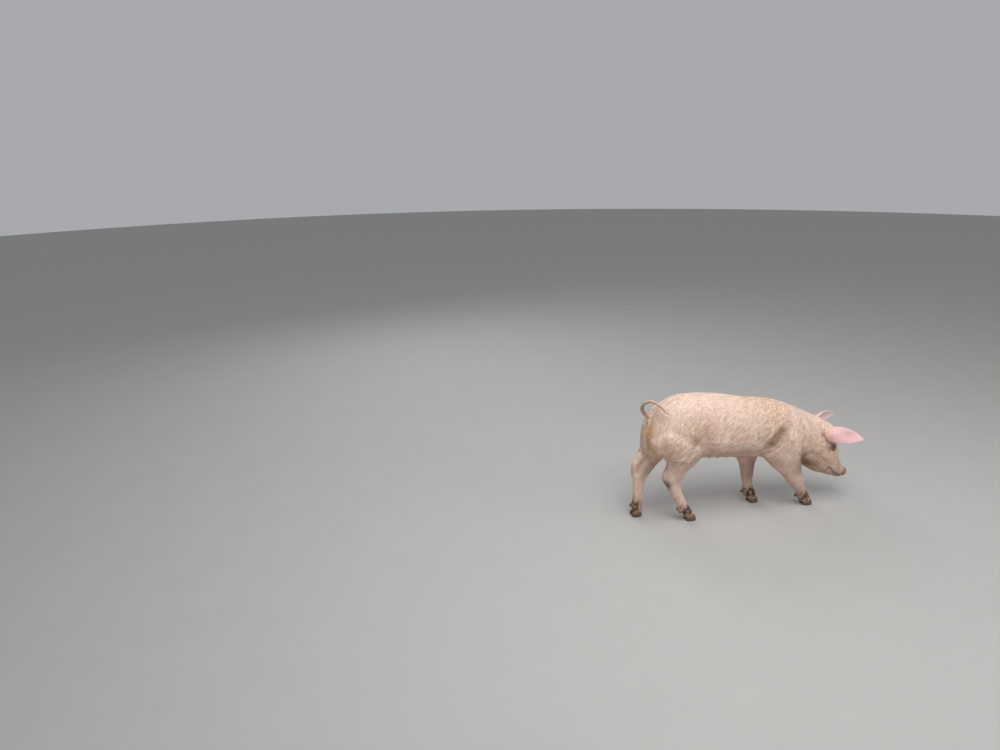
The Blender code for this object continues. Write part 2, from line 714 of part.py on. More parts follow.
def eye_frame(tree, side):
    """Where an eye sits: its centre, outward, forward and upward directions."""
    turn = -1 if side == "right" else 1
    target = Vector((EYE_AT[0], 0.0, EYE_AT[1]))
    start = target + Vector(SIGHT_START) * Vector((1, turn, 1))
    hit, normal, _, _ = tree.ray_cast(start, (target - start).normalized())
    out = normal.normalized()
    forward = Vector(EYE_SLANT)
    forward = (forward - out * forward.dot(out)).normalized()
    up = out.cross(forward) if turn < 0 else forward.cross(out)
    return hit - out * EYE_DEPTH, out, forward, up


def lid(name, frame, rise, group):
    """One eyelid as a tapered roll that lies over the eyeball."""
    centre, out, forward, up = frame
    points = []
    radii = []
    for step in range(LID_STEPS + 1):
        turn = LID_HALF_WIDTH * (2 * step / LID_STEPS - 1)
        lift = rise * cos(turn / LID_HALF_WIDTH * pi / 2)
        aim = out * cos(turn) * cos(lift) + forward * sin(turn) * cos(lift) + up * sin(lift)
        points.append(centre + aim * (EYE_RADIUS + LID_CLEARANCE))
        full = cos(turn / LID_HALF_WIDTH * pi / 2)
        radii.append(LID_RADIUS * (LID_END_SHARE + (1 - LID_END_SHARE) * full))
    return tube(name, points, radii, group)


def ball(name, centre, radius, group, segments=14, rings=8):
    """A round ball."""
    mesh = bmesh.new()
    bmesh.ops.create_uvsphere(mesh, u_segments=segments, v_segments=rings, radius=radius)
    bmesh.ops.translate(mesh, vec=centre, verts=mesh.verts)
    return object_from(mesh, name, group)


def add_eyes(head, nodes, cutters):
    """Eyeballs in sockets, each between an upper and a lower lid."""
    tree = surface_of(head)
    frames = {side: eye_frame(tree, side) for side in ("right", "left")}
    lids = []
    for frame in frames.values():
        lids.append(lid("upper_lid", frame, UPPER_LID_RISE, cutters))
        lids.append(lid("lower_lid", frame, -LOWER_LID_DROP, cutters))
    unite("head", [head] + lids, nodes)
    eyes = []
    for side, frame in frames.items():
        socket = ball("socket", frame[0], EYE_RADIUS + GAP, cutters)
        boolean(head, "DIFFERENCE", socket)
        remove(socket)
        eyes.append(ball("eye_" + side, frame[0], EYE_RADIUS, nodes))
    keep_largest(head)
    return eyes


def mouth_line(tree):
    """The line of the closed mouth, from one corner round the front to the other."""
    guides = [Vector((x, -width, z)) for x, width, z in MOUTH]
    guides.append(Vector(MOUTH_FRONT))
    guides += [Vector((x, width, z)) for x, width, z in reversed(MOUTH)]
    path = [Vector(row) for row in smooth_line(guides, 25)]
    return [tree.find_nearest(point)[0] for point in path]


def shape_mouth(head, cutters):
    """Swell the lips a little and press the mouth line between them."""
    line = mouth_line(surface_of(head))
    for vertex in head.data.vertices:
        distance = min((vertex.co - point).length for point in line)
        if distance < LIP_REACH:
            vertex.co += vertex.normal * LIP_SWELL * (1 - distance / LIP_REACH)
    line = mouth_line(surface_of(head))
    groove = tube("mouth_groove", line, [MOUTH_GROOVE] * len(line), cutters)
    boolean(head, "DIFFERENCE", groove)
    remove(groove)
    return keep_largest(head)


def disc_axes():
    """The snout disc's centre, forward and upward directions."""
    out = Vector((cos(DISC_PITCH), 0.0, -sin(DISC_PITCH)))
    up = Vector((sin(DISC_PITCH), 0.0, cos(DISC_PITCH)))
    return Vector(DISC_CENTRE), out, up


def flatten_snout(head, cutters):
    """End the head on the plane that the snout disc sits on."""
    centre, out, _ = disc_axes()
    behind = region("behind_disc", [(centre, out)], 0.0, cutters)
    boolean(head, "INTERSECT", behind)
    remove(behind)
    return keep_largest(head)


def add_snout(nodes, cutters):
    """The snout's disc with its two nostrils, on the flat end of the head."""
    centre, out, up = disc_axes()
    rings = []
    for depth, scale in DISC_LEVELS:
        ring = []
        for number in range(RING_SIDES):
            angle = 2 * pi * number / RING_SIDES
            side = Vector((0, 1, 0)) * DISC_HALF_WIDTH * sin(angle) * scale
            height = up * DISC_HALF_HEIGHT * cos(angle) * scale
            ring.append(centre + out * depth + side + height)
        rings.append(ring)
    disc = object_from(bridge(rings), "snout_disc", nodes)
    for turn in (-1, 1):
        place = centre + Vector((0, turn * NOSTRIL_OFFSET, 0)) + up * NOSTRIL_RISE
        start = place + out * (DISC_THICKNESS - NOSTRIL_DEPTH)
        end = place + out * (DISC_THICKNESS + 0.004)
        hole = cone_between("nostril", start, end, NOSTRIL_RADIUS * 0.7, NOSTRIL_RADIUS * 1.25, 12, cutters)
        boolean(disc, "DIFFERENCE", hole)
        remove(hole)
    return keep_largest(disc)


def add_teats(torso, nodes, cutters):
    """Two rows of small teats grown from the belly."""
    tree = surface_of(torso)
    teats = []
    for row in range(TEAT_ROWS):
        for turn in (-1, 1):
            x = TEAT_FIRST + row * TEAT_PITCH
            hit, normal, _, _ = tree.ray_cast(Vector((x, turn * TEAT_OFFSET, 0)), Vector((0, 0, 1)))
            start = hit - normal * ROOT_DEPTH
            end = hit + Vector((0, turn * TEAT_SLANT, -1)).normalized() * TEAT_LENGTH
            teats.append(cone_between("teat", start, end, TEAT_ROOT_RADIUS, TEAT_END_RADIUS, TEAT_SIDES, cutters))
    return unite("torso", [torso] + teats, nodes)


def finish(nodes, materials):
    """Give each piece its material and smooth faces, and put the origin under the middle."""
    low = Vector((9, 9, 9))
    high = -low
    for item in nodes.objects:
        for vertex in item.data.vertices:
            low = Vector(map(min, low, vertex.co))
            high = Vector(map(max, high, vertex.co))
    middle = (low + high) / 2
    stance = bpy.data.objects.new("stance", None)
    bpy.context.scene.collection.objects.link(stance)
    stance.location = (-middle.x, -middle.y, 0.0)
    for item in nodes.objects:
        item.parent = stance
        kind = "skin"
        if "claw" in item.name:
            kind = "horn"
        elif item.name.startswith("eye"):
            kind = "eye"
        elif item.name == "snout_disc":
            kind = "snout"
        item.data.materials.clear()
        item.data.materials.append(materials[kind])
        item.data.shade_smooth()
        item.data.set_sharp_from_angle(angle=radians(50))


def main():
    """Build the piglet."""
    clear_scene()
    nodes = make_collection("piglet")
    cutters = make_collection("cutters")
    forms = [loft("trunk_form", body_stations(TRUNK), nodes), loft("head_form", body_stations(HEAD), nodes)]
    forms += [loft(foot + "_form", leg_stations(table), nodes) for foot, table in LEGS.items()]
    points, radii = tail_line()
    stub = round(TAIL_SPLITS[0] * (len(points) - 1)) + 2
    forms.append(tube("tail_root", points[:stub], [radius * TAIL_FLARE for radius in radii[:stub]], nodes))
    torso = blend(unite("torso", forms, nodes), BODY_TRIANGLES)

    legs = {}
    for foot in LEGS:
        legs[foot] = part_leg(torso, foot, nodes, cutters)
    head = part_off(torso, "head", [NAPE_CUT], nodes, cutters)
    part_off(torso, "neck", [NECK_CUT], nodes, cutters)
    place, inward = tail_cut()
    tail_end = region("tail_end", [(place, inward), (place + Vector((0.02, 0, 0)), (1, 0, 0))], 0.0, cutters)
    boolean(torso, "DIFFERENCE", tail_end)
    remove(tail_end)
    keep_largest(torso)

    add_feet(legs, nodes, cutters)
    add_tail(nodes)
    flatten_snout(head, cutters)
    shape_mouth(head, cutters)
    flatten_snout(head, cutters)
    add_snout(nodes, cutters)
    add_ear(head, "right", nodes, cutters)
    add_ear(head, "left", nodes, cutters)
    add_eyes(head, nodes, cutters)
    add_teats(torso, nodes, cutters)
    finish(nodes, {
        "skin": make_material(*SKIN),
        "horn": make_material(*HORN),
        "snout": make_material(*SNOUT_SKIN),
        "eye": make_material(*EYE),
    })


main()
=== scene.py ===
from math import cos, pi, radians, sin

import bmesh
import bpy
import numpy as np
from bpy.props import FloatProperty, FloatVectorProperty, IntProperty, PointerProperty
from mathutils import Matrix, Vector
from mathutils.bvhtree import BVHTree
from mathutils.kdtree import KDTree


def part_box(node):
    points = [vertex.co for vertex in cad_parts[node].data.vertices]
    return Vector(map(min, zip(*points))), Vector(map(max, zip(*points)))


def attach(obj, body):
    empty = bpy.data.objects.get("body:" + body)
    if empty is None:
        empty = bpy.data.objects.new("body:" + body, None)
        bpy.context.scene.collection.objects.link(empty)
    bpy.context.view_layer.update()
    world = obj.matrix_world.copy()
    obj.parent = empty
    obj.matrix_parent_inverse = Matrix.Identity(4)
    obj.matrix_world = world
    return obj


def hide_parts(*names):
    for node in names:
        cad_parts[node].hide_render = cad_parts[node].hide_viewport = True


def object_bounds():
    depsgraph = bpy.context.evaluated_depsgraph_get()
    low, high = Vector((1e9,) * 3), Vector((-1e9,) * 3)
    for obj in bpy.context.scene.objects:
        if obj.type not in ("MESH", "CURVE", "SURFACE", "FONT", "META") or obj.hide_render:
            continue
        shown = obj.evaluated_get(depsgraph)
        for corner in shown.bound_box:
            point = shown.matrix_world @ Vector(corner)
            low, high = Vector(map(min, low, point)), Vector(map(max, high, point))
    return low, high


bl_info = {
    "name": "Piglet",
    "version": (1, 0, 0),
    "blender": (4, 5, 0),
    "location": "3D View > Sidebar > Piglet",
    "description": "Dresses the solid piglet in skin, bristles, eyes and hooves, and sets a plain stage",
    "category": "Add Mesh",
}

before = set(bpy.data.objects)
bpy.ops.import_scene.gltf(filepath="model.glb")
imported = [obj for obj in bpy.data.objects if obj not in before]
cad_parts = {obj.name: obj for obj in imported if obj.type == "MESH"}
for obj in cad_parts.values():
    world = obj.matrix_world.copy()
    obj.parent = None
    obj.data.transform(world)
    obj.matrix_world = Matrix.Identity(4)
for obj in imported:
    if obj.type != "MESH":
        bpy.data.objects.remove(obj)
cad_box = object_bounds()

# Metres, +X towards the snout, +Y towards the piglet's left, +Z up. Places on one side are
# written with y positive outwards, and hold for both sides unless a side is named.
SIDES = {"right": -1, "left": 1}
FEET = ("fore_right", "fore_left", "hind_right", "hind_left")
FLESH = [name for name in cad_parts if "claw" not in name and not name.startswith("eye")]

# Streaks in the coat: directions that are blended, how sharply, and the length and width of both kinds
GRAIN_STEPS = 8
GRAIN_FOCUS = 10.0
WISP_GRAIN = (0.0340, 0.0030)
HAIR_GRAIN = (0.0100, 0.0010)
GRAIN_FLOOR = 0.0001

# Cells to the metre of the blotches of wet dirt and painted shade, the ears' dots, the pores and the fine
# creases, and fixed colours
MUD_AND_SHADE_SCALE = 120
DOT_CELLS = 105.0
PORE_CELLS = 720.0
CREASE_CELLS = 310.0
DOT_RED = (0.30, 0.07, 0.05, 1.0)
# Dark colour of rim marks, also painted as shade along the mouth, in the nostrils and round the eyes
RIM_AND_SHADE_DARK = (0.030, 0.018, 0.014, 1.0)
PUPIL = (0.003, 0.002, 0.002, 1.0)
IRIS_RIM = (0.020, 0.010, 0.008, 1.0)
EYE_WHITE = (0.12, 0.07, 0.05, 1.0)
EYE_VEINS = (0.09, 0.03, 0.02, 1.0)
# Angles off the eye's axis over which pupil, iris and white meet
PUPIL_EDGE = (0.30, 0.26)
IRIS_EDGE = (0.50, 0.56)
WHITE_EDGE = (0.64, 0.72)

# How the solids are joined into the skin, rounded and fitted back onto them
CLOSE_GAPS = 0.00025
CREASE_ANGLE = radians(42)
SMOOTHING = 14
SHAPE_STEP = 0.45
# Steps over which the skin's distance from the solids is evened out, in each of two rounds
FIT_STEPS = (36, 9)
FIT_REACH = 0.006
FIT_FACING = 0.3
# How much less the ears, snout and tail are rounded, and how far the rounding reaches round the eyes
STEADY = 0.75
EYE_EASE = 0.008
# Steps over which one region of the coat turns into the next
REGION_STEPS = 70

# Slope of the coat's lie, in degrees below backwards, at heights over the floor
LIE_SLOPE = {
    "trunk": ((0.160, 22), (0.200, 34), (0.250, 46), (0.300, 60)),
    "neck": ((0.150, 30), (0.200, 46), (0.250, 56), (0.280, 62)),
    "upper_leg": ((0.100, 66), (0.140, 48), (0.180, 46), (0.240, 48)),
    "lower_leg": ((0.020, 78), (0.080, 74), (0.120, 68)),
}
CHEEK_LIE = (-0.62, 0.0, -0.78)
MUZZLE_LIE = (-0.58, 0.0, 0.80)
MUZZLE_START = 0.222
MUZZLE_FULL = 0.246
# How the lie leans outwards beside the spine
SPINE_LEAN = 0.55
SPINE_REACH = 0.025
# Rounds and steps in which the lie is evened out, and how far the tail's curl turns below its middle
LIE_ROUNDS = 3
LIE_STEPS = 5
CURL_DROP = 0.006

# Length of the bristles in each region, their number to a square metre and the height of their tips
COAT = {
    "trunk": (0.0170, 340000, 0.00050),
    "neck": (0.0155, 340000, 0.00050),
    "head": (0.0068, 340000, 0.00036),
    "snout": (0.0022, 60000, 0.00025),
    "ear": (0.0036, 120000, 0.00022),
    "tail": (0.0065, 240000, 0.00035),
    "upper_leg": (0.0135, 340000, 0.00046),
    "lower_leg": (0.0062, 340000, 0.00032),
}
REGIONS = tuple(COAT)
REGION_WORDS = {
    "torso": "trunk", "neck": "neck", "head": "head", "snout": "snout", "ear": "ear", "tail": "tail",
    "upper": "upper_leg",
}

# How far the skin lies inside the solids
SKIN_DEPTH = {
    "trunk": 0.0008, "neck": 0.0008, "head": 0.0005, "snout": 0.0001, "ear": 0.0001,
    "tail": 0.0004, "upper_leg": 0.0006, "lower_leg": 0.0004,
}

# Folds pressed into both sides: profile points (x, z), width, depth and the share of it raised beside
FOLDS = {
    "behind_ear": (((0.197, 0.222), (0.1925, 0.200), (0.1935, 0.178)), 0.0042, 0.0026, 0.35),
    "neck_upper": (((0.152, 0.243), (0.166, 0.220), (0.177, 0.196), (0.180, 0.170)), 0.0075, 0.0016, 0.45),
    "neck_middle": (((0.130, 0.236), (0.141, 0.208), (0.147, 0.185), (0.148, 0.164)), 0.0080, 0.0010, 0.45),
    "throat": (((0.136, 0.197), (0.129, 0.174), (0.127, 0.152)), 0.0070, 0.0022, 0.35),
    "cheek": (((0.222, 0.112), (0.203, 0.127), (0.181, 0.141), (0.160, 0.149)), 0.0090, 0.0013, 0.40),
    "jowl": (((0.200, 0.098), (0.176, 0.108), (0.150, 0.122), (0.134, 0.140)), 0.0070, 0.0010, 0.50),
    "shoulder_front": (
        ((0.094, 0.262), (0.086, 0.230), (0.080, 0.195), (0.082, 0.165)), 0.0120, 0.0018, 0.40,
    ),
    "shoulder_rear": (((-0.008, 0.258), (-0.003, 0.228), (0.014, 0.197)), 0.0130, 0.0016, 0.40),
    "elbow": (((0.058, 0.222), (0.044, 0.202), (0.024, 0.186), (0.006, 0.172)), 0.0110, 0.0030, 0.30),
    "armpit": (((0.038, 0.176), (0.022, 0.165), (0.006, 0.158)), 0.0050, 0.0018, 0.40),
    "flank": (((-0.152, 0.240), (-0.142, 0.212), (-0.128, 0.186)), 0.0130, 0.0030, 0.30),
    "ham": (((-0.270, 0.248), (-0.256, 0.211), (-0.240, 0.180)), 0.0120, 0.0012, 0.30),
}
# Folds of one leg: its side, the face of the leg from inside (-1) or outside (1), and the same values
LEG_FOLDS = {
    "hock_near_outer": (-1, 1, ((-0.206, 0.176), (-0.222, 0.150), (-0.227, 0.126)), 0.0060, 0.0022, 0.30),
    "hock_near_inner": (-1, -1, ((-0.206, 0.172), (-0.222, 0.150), (-0.227, 0.126)), 0.0060, 0.0024, 0.30),
    "hock_far_inner": (1, -1, ((-0.252, 0.178), (-0.275, 0.150), (-0.285, 0.124)), 0.0065, 0.0030, 0.40),
    "hock_far_outer": (1, 1, ((-0.252, 0.178), (-0.275, 0.150), (-0.285, 0.124)), 0.0065, 0.0024, 0.30),
}
CLEFT = ((-0.2830, 0.262), (-0.2850, 0.240), (-0.2790, 0.215), (-0.2680, 0.195))
# Width, depth and raised share of the cleft below the tail, and how far behind it is looked for
CLEFT_FORM = (0.0050, 0.0040, 0.35)
CLEFT_START = 0.05
# Where the raised edge of a fold stands and how wide it is, in widths of the fold
EDGE_PLACE = 1.9
EDGE_WIDTH = 0.8
# Creases round the pastern and the slit between the claws
PASTERN_TOP = 0.046
PASTERN_PITCH = 0.0046
PASTERN_DEPTH = 0.00040
PASTERN_FADE = 0.008
CREASE_WANDER = 0.0012
CREASE_GATE = 0.35
FOOT_REACH = 0.045
SLIT_TOP = 0.028
SLIT_WIDTH = 0.0019
SLIT_DEPTH = 0.0024
SLIT_FADE = 0.010
DEWCLAW_BULGE = 0.0030
DEWCLAW_SPREAD = 0.0074
DEWCLAW_REACH = 0.011
# Teats on the belly: the first one's place, their pitch, number, offset, swell and reach
TEAT_FIRST = -0.163
TEAT_PITCH = 0.0235
TEAT_ROWS = 7
TEAT_OFFSET = 0.024
TEAT_SWELL = 0.0022
TEAT_REACH = 0.0030
# A clean stripe below the eye, as profile points
EYE_STRIPE = ((0.2250, 0.147), (0.2262, 0.135), (0.2290, 0.122))
STRIPE_CLEAN = 0.75
STRIPE_WIDTH = 0.0035

# The snout's direction, its face's rising direction, and the wrinkles behind the disc
NOSE_AIM = np.array((0.62, 0.0, -0.78))
NOSE_RISE = np.array((0.78, 0.0, 0.62))
SNOUT_WRINKLES = 6
WRINKLE_START = 0.0085
WRINKLE_PITCH = 0.0052
WRINKLE_WIDTH = 0.0014
WRINKLE_DEPTH = 0.0011
WRINKLE_REACH = 0.040

# The closed mouth on one side, from its corner to the front, and its width, depth and raised share
MOUTH = ((0.2285, 0.040, 0.1000), (0.2435, 0.035, 0.0850), (0.2585, 0.028, 0.0725), (0.2725, 0.020, 0.0640),
         (0.2790, 0.008, 0.0605), (0.2798, 0.0, 0.0600))
MOUTH_FORM = (0.0012, 0.0018, 0.45)
# How far the dark rim marks, painted shade along the mouth and partly painted shade round the eyes, and the
# bare skin reach at the mouth and the eyes
MOUTH_RIM = 0.0014
MOUTH_BARE = 0.002
EYE_RIM = 0.0075
EYE_BARE = 0.0085

# Nostrils on the disc: offset to each side, rise, size and depth
NOSTRIL_SIDE = 0.0078
NOSTRIL_RISE = 0.0012
NOSTRIL_WIDTH = 0.0034
NOSTRIL_DEPTH = 0.0030
NOSTRIL_OVAL = 1.25
NOSTRIL_REACH = 0.012

# Soft spots of each marking: place, reach along each axis, strength
SOIL_AND_SHADE_SPOTS = {
    "cheek": ((0.200, 0.042, 0.118), (0.044, 0.050, 0.028), 0.40),
    "muzzle": ((0.262, 0.000, 0.088), (0.036, 0.060, 0.036), 0.44),
    "disc": ((0.289, 0.000, 0.066), (0.022, 0.035, 0.022), 0.70),
    # Painted shade on the lower lip, under the upper lip
    "lip": ((0.246, 0.034, 0.078), (0.024, 0.020, 0.010), 0.85),
    # Painted shade under the jaw
    "jaw": ((0.156, 0.030, 0.118), (0.050, 0.050, 0.024), 0.85),
    # Painted shade in the crease behind the jowl
    "jowl": ((0.138, 0.045, 0.146), (0.018, 0.050, 0.022), 0.85),
    "cheek_upper": ((0.182, 0.045, 0.156), (0.032, 0.050, 0.030), 0.33),
    # Painted shade in the mouth's corner
    "mouth_corner": ((0.2250, 0.040, 0.1020), (0.0055, 0.020, 0.0050), 0.95),
    # Painted shade on the lower rear of the ham
    "ham_rear": ((-0.250, 0.060, 0.214), (0.034, 0.050, 0.026), 0.30),
    "belly_side": ((-0.090, 0.055, 0.180), (0.120, 0.050, 0.017), 0.30),
    "far_fore": ((0.034, 0.034, 0.085), (0.032, 0.030, 0.045), 0.60),
    # Painted shadow of the ear above the eye
    "brow": ((0.2240, 0.036, 0.1690), (0.0100, 0.020, 0.0070), 0.80),
    "eye_corner": ((0.2140, 0.038, 0.160), (0.0075, 0.020, 0.0095), 0.72),
    "ham": ((-0.171, 0.060, 0.233), (0.016, 0.030, 0.012), 0.60),
    "belly": ((-0.020, 0.000, 0.148), (0.150, 0.060, 0.020), 0.42),
    "hock": ((-0.236, 0.034, 0.106), (0.013, 0.030, 0.022), 0.95),
    "tail": ((-0.285, -0.020, 0.312), (0.040, 0.040, 0.030), 0.65),
}
TAN_AND_SHADE_SPOTS = {
    "shoulder": ((0.055, 0.052, 0.256), (0.058, 0.070, 0.050), 0.82),
    "elbow": ((0.050, 0.060, 0.216), (0.030, 0.060, 0.028), 1.00),
    "behind_shoulder": ((-0.020, 0.062, 0.232), (0.060, 0.050, 0.036), 0.40),
    "withers": ((0.045, 0.000, 0.296), (0.074, 0.070, 0.046), 1.00),
    # Painted shade in the hollow before the hip
    "hip": ((-0.155, 0.050, 0.260), (0.036, 0.060, 0.034), 0.95),
    # Partly the ham's own warm streaks, partly painted shade on its lower part
    "ham": ((-0.235, 0.060, 0.215), (0.055, 0.060, 0.036), 0.85),
    "cheek": ((0.185, 0.045, 0.150), (0.045, 0.060, 0.045), 0.70),
    "tail": ((-0.280, -0.020, 0.300), (0.045, 0.045, 0.040), 0.60),
}
BLUSH_SPOTS = {
    "ear_root": ((0.204, 0.050, 0.203), (0.026, 0.040, 0.030), 1.00),
    "neck_band": ((0.162, 0.050, 0.222), (0.016, 0.050, 0.040), 0.55),
    "belly": ((-0.050, 0.000, 0.168), (0.170, 0.090, 0.036), 0.90),
    "armpit": ((0.018, 0.050, 0.170), (0.024, 0.050, 0.022), 0.90),
    "flank": ((-0.146, 0.050, 0.225), (0.034, 0.050, 0.050), 1.00),
    "rump": ((-0.265, 0.030, 0.225), (0.030, 0.060, 0.050), 0.50),
    "eye": ((0.226, 0.040, 0.150), (0.012, 0.020, 0.012), 0.30),
}
OCHRE_SPOTS = {
    "high": ((-0.281, -0.017, 0.252), (0.020, 0.0085, 0.024), 1.00),
    "low": ((-0.274, -0.020, 0.214), (0.022, 0.0110, 0.022), 1.00),
}
# Painted shade on the head where it faces down, dirt on the disc, and how far the dirt reaches round the disc
JAW_PAINTED_SHADE = 0.50
DISC_SOIL = 0.72
DISC_REACH = 0.022
# Wet dirt, and painted shade in the mouth's corners and behind the jowls
MUD_AND_SHADE_SPOTS = {
    "hock": ((-0.238, 0.034, 0.104), (0.012, 0.030, 0.020), 0.75),
    "lips": ((0.262, 0.020, 0.068), (0.030, 0.030, 0.008), 0.60),
    # Painted shade in the mouth's corner
    "mouth_corner": ((0.2235, 0.040, 0.1020), (0.0050, 0.020, 0.0060), 0.80),
    # Painted shade in the crease behind the jowl
    "jowl": ((0.136, 0.045, 0.138), (0.010, 0.050, 0.022), 0.45),
    "tail_root": ((-0.288, -0.010, 0.286), (0.006, 0.012, 0.010), 0.50),
}
# The direction that the back of each ear faces
EAR_BACK = {"right": (-0.10, -0.72, 0.60), "left": (-0.15, 0.93, 0.30)}
# Painted shade on the upper part of the ears, away from their cups
EAR_PAINTED_SHADE_SPOTS = {
    "upper": ((0.248, 0.060, 0.207), (0.021, 0.060, 0.009), 1.00),
    "tip": ((0.283, 0.070, 0.192), (0.012, 0.060, 0.006), 0.45),
}
# Small red marks on the right ear, as profile points
EAR_DOTS = ((0.2077, 0.1923), (0.2102, 0.2000), (0.2211, 0.2045))
DOT_RADIUS = 0.0012
# Soiled streaks on the side: profile points, width, strength
SOIL_LINES = {
    "elbow": (((0.034, 0.200), (0.050, 0.216), (0.062, 0.229)), 0.0175, 0.72),
    "armpit": (((0.026, 0.188), (0.038, 0.200)), 0.0085, 0.25),
}
# Soil and mud over each foot: place against its claws, reach, strength and how evenly it is filled
FETLOCK_SOIL = (-0.013, 0.0, 0.022)
FETLOCK_REACH = (0.021, 0.026, 0.017)
FETLOCK_STRENGTH = 0.90
FETLOCK_FILL = 1.5
# Soil on the legs, from none at the top to full strength at the bottom
LEG_SOIL = {"fore": 0.48, "hind": 0.05}
LEG_SOIL_TOP = 0.135
LEG_SOIL_BOTTOM = 0.020

# Section of the lids, each as (width out from the opening's edge, height over the base)
LID_SECTION = (
    (-0.0008, -0.0007), (-0.0003, 0.0000), (0.0000, 0.00035), (0.0005, 0.00085), (0.0012, 0.00105),
    (0.0020, 0.00085), (0.0027, 0.00040), (0.0033, 0.00045), (0.0041, 0.00065), (0.0052, 0.00030),
    (0.0072, -0.0012),
)
LID_STEPS = 64
# Share of the opening's height on each lid, how far its corners are drawn out, how far off the skin is
# looked for, the width over which the lids turn into it, and the dark rim, partly painted shade, by distance
# from the centre
UPPER_LID = 1.12
LOWER_LID = 0.88
EYE_CORNER = 0.10
LID_LOOK = 0.03
LID_BLEND = 0.0045
LID_RIM = ((1.10, 1.40, 1.80, 2.50), (0.95, 0.82, 0.35, 0.0))
# Ring of the head's surface round an eye that tells where the eye looks, and the slant of its opening
SOCKET_RING = (0.011, 0.024)
EYE_SLANT = (0.55, 0.0, -0.83)
# The eyeball: rings, half angle and swell of its clear front, and how much smaller than the solid it is
EYE_RINGS = 40
CLEAR_FRONT = radians(36)
FRONT_SWELL = 0.045
BALL_SHRINK = 0.02
LASHES = 26
LASH_LENGTH = 0.0065
LASH_RADIUS = 0.00010
LASH_STATIONS = (0.0, 0.35, 0.7)
LASH_BEND = 0.35
LASH_RISE = 0.0006

# Claws: share of the height, width there and how far it has moved back; then the dewclaws the same way
CLAW_SIDES = 48
CLAW_HEIGHT = 0.0125
CORONET_SLOPE = 0.30
CORONET_TUCK = 0.004
TOE_POINT = 0.34
INNER_WALL = 0.86
CLAW_WEAR = 0.00007
WEAR_PITCH = 0.0017
CLAW_SECTION = (
    (0.0, 0.90, 0.0), (0.05, 0.955, 0.0), (0.14, 0.985, 0.0001), (0.26, 0.99, 0.0004), (0.38, 0.985, 0.0008),
    (0.50, 0.975, 0.0013), (0.62, 0.96, 0.0018), (0.74, 0.94, 0.0023), (0.86, 0.91, 0.0028),
    (0.96, 0.88, 0.0032), (1.08, 0.82, 0.0036), (1.20, 0.70, 0.0040),
)
DEWCLAW_RADIUS = 0.0044
DEWCLAW_LENGTH = 0.66
DEWCLAW_SAG = 0.0012
DEWCLAW_SIDES = 24
DEWCLAW_SECTION = (
    (-0.45, 1.02), (0.0, 1.0), (0.25, 0.97), (0.48, 0.90), (0.68, 0.78), (0.84, 0.60), (0.94, 0.40),
    (0.99, 0.16),
)

# Camera that took the photograph, placed against the frame's origin on the floor
CAMERA_PLACE = (-1.0069, -1.5717, 0.925)
CAMERA_HEADING = radians(13.0)
CAMERA_PITCH = radians(17.4)
CAMERA_ROLL = radians(-0.8)
FOCAL_PIXELS = 745
PHOTO_WIDTH = 1000
SENSOR_WIDTH = 36.0
# Lamps: place, size and share of the key power
LAMPS = {
    "lamp_overhead": ((-0.35, -0.75, 1.9), 1.6, 1.0),
    "lamp_front": ((1.5, -1.2, 1.1), 1.2, 0.22),
    "lamp_behind": ((-0.6, 1.9, 1.5), 1.4, 0.35),
}
LAMP_AIM = Vector((0.0, 0.0, 0.18))
SKY_COLOUR = (0.93, 0.96, 1.0, 1.0)


def colour_setting(name, description, default):
    """A colour that the sidebar offers."""
    return FloatVectorProperty(
        name=name, description=description, default=default, subtype="COLOR", min=0, max=1,
    )


def length_setting(name, description, default, low, high):
    """A length that the sidebar offers."""
    return FloatProperty(
        name=name, description=description, default=default, min=low, max=high, unit="LENGTH",
    )


class PigletSkinSettings(bpy.types.PropertyGroup):
    """Fineness and colours of the skin"""
    grid_size: length_setting(
        "Grid Size", "Size of the cells that the skin is modelled on", 0.0011, 0.0008, 0.003
    )
    triangles: IntProperty(
        name="Triangles", description="Triangles that the skin keeps", default=260000, min=40000,
    )
    pink: colour_setting("Pink", "Colour of the skin", (0.74, 0.45, 0.365))
    blush: colour_setting("Blush", "Colour of the belly and the folds", (0.68, 0.335, 0.295))
    # This warm colour is also painted as shade before the hips and on the lower hams
    tan: colour_setting("Tan", "Warm colour of the shoulders and back", (0.62, 0.37, 0.235))
    # This dirt colour is also painted as shade under the head, above the eyes, at the mouth's corners, behind
    # the jowls and on the lower hams
    soil_and_shade: colour_setting("Soil", "Colour of the dirt on cheeks and legs", (0.165, 0.080, 0.028))
    # This wet dirt colour is also painted as shade in the mouth's corners and behind the jowls
    mud_and_shade: colour_setting("Mud", "Colour of the wet dirt on feet and hocks", (0.048, 0.026, 0.011))
    down: colour_setting("Down", "Colour of the fine down between the bristles", (0.90, 0.74, 0.60))
    ear: colour_setting("Ear", "Colour of the ears", (0.86, 0.55, 0.55))
    # Painted shade on the upper part of the ears
    ear_painted_shade: colour_setting("Ear Shade", "Colour of the thin upper part of the ears", (0.60, 0.35, 0.36))
    # Painted light on the thin edges and in the cups of the ears
    ear_painted_light: colour_setting("Ear Painted Light", "Colour of the ears' edges", (1.0, 0.80, 0.77))
    ochre: colour_setting("Ochre", "Colour of the stain below the tail", (0.62, 0.36, 0.07))
    snout: colour_setting("Snout", "Colour of the bare disc", (0.33, 0.195, 0.135))


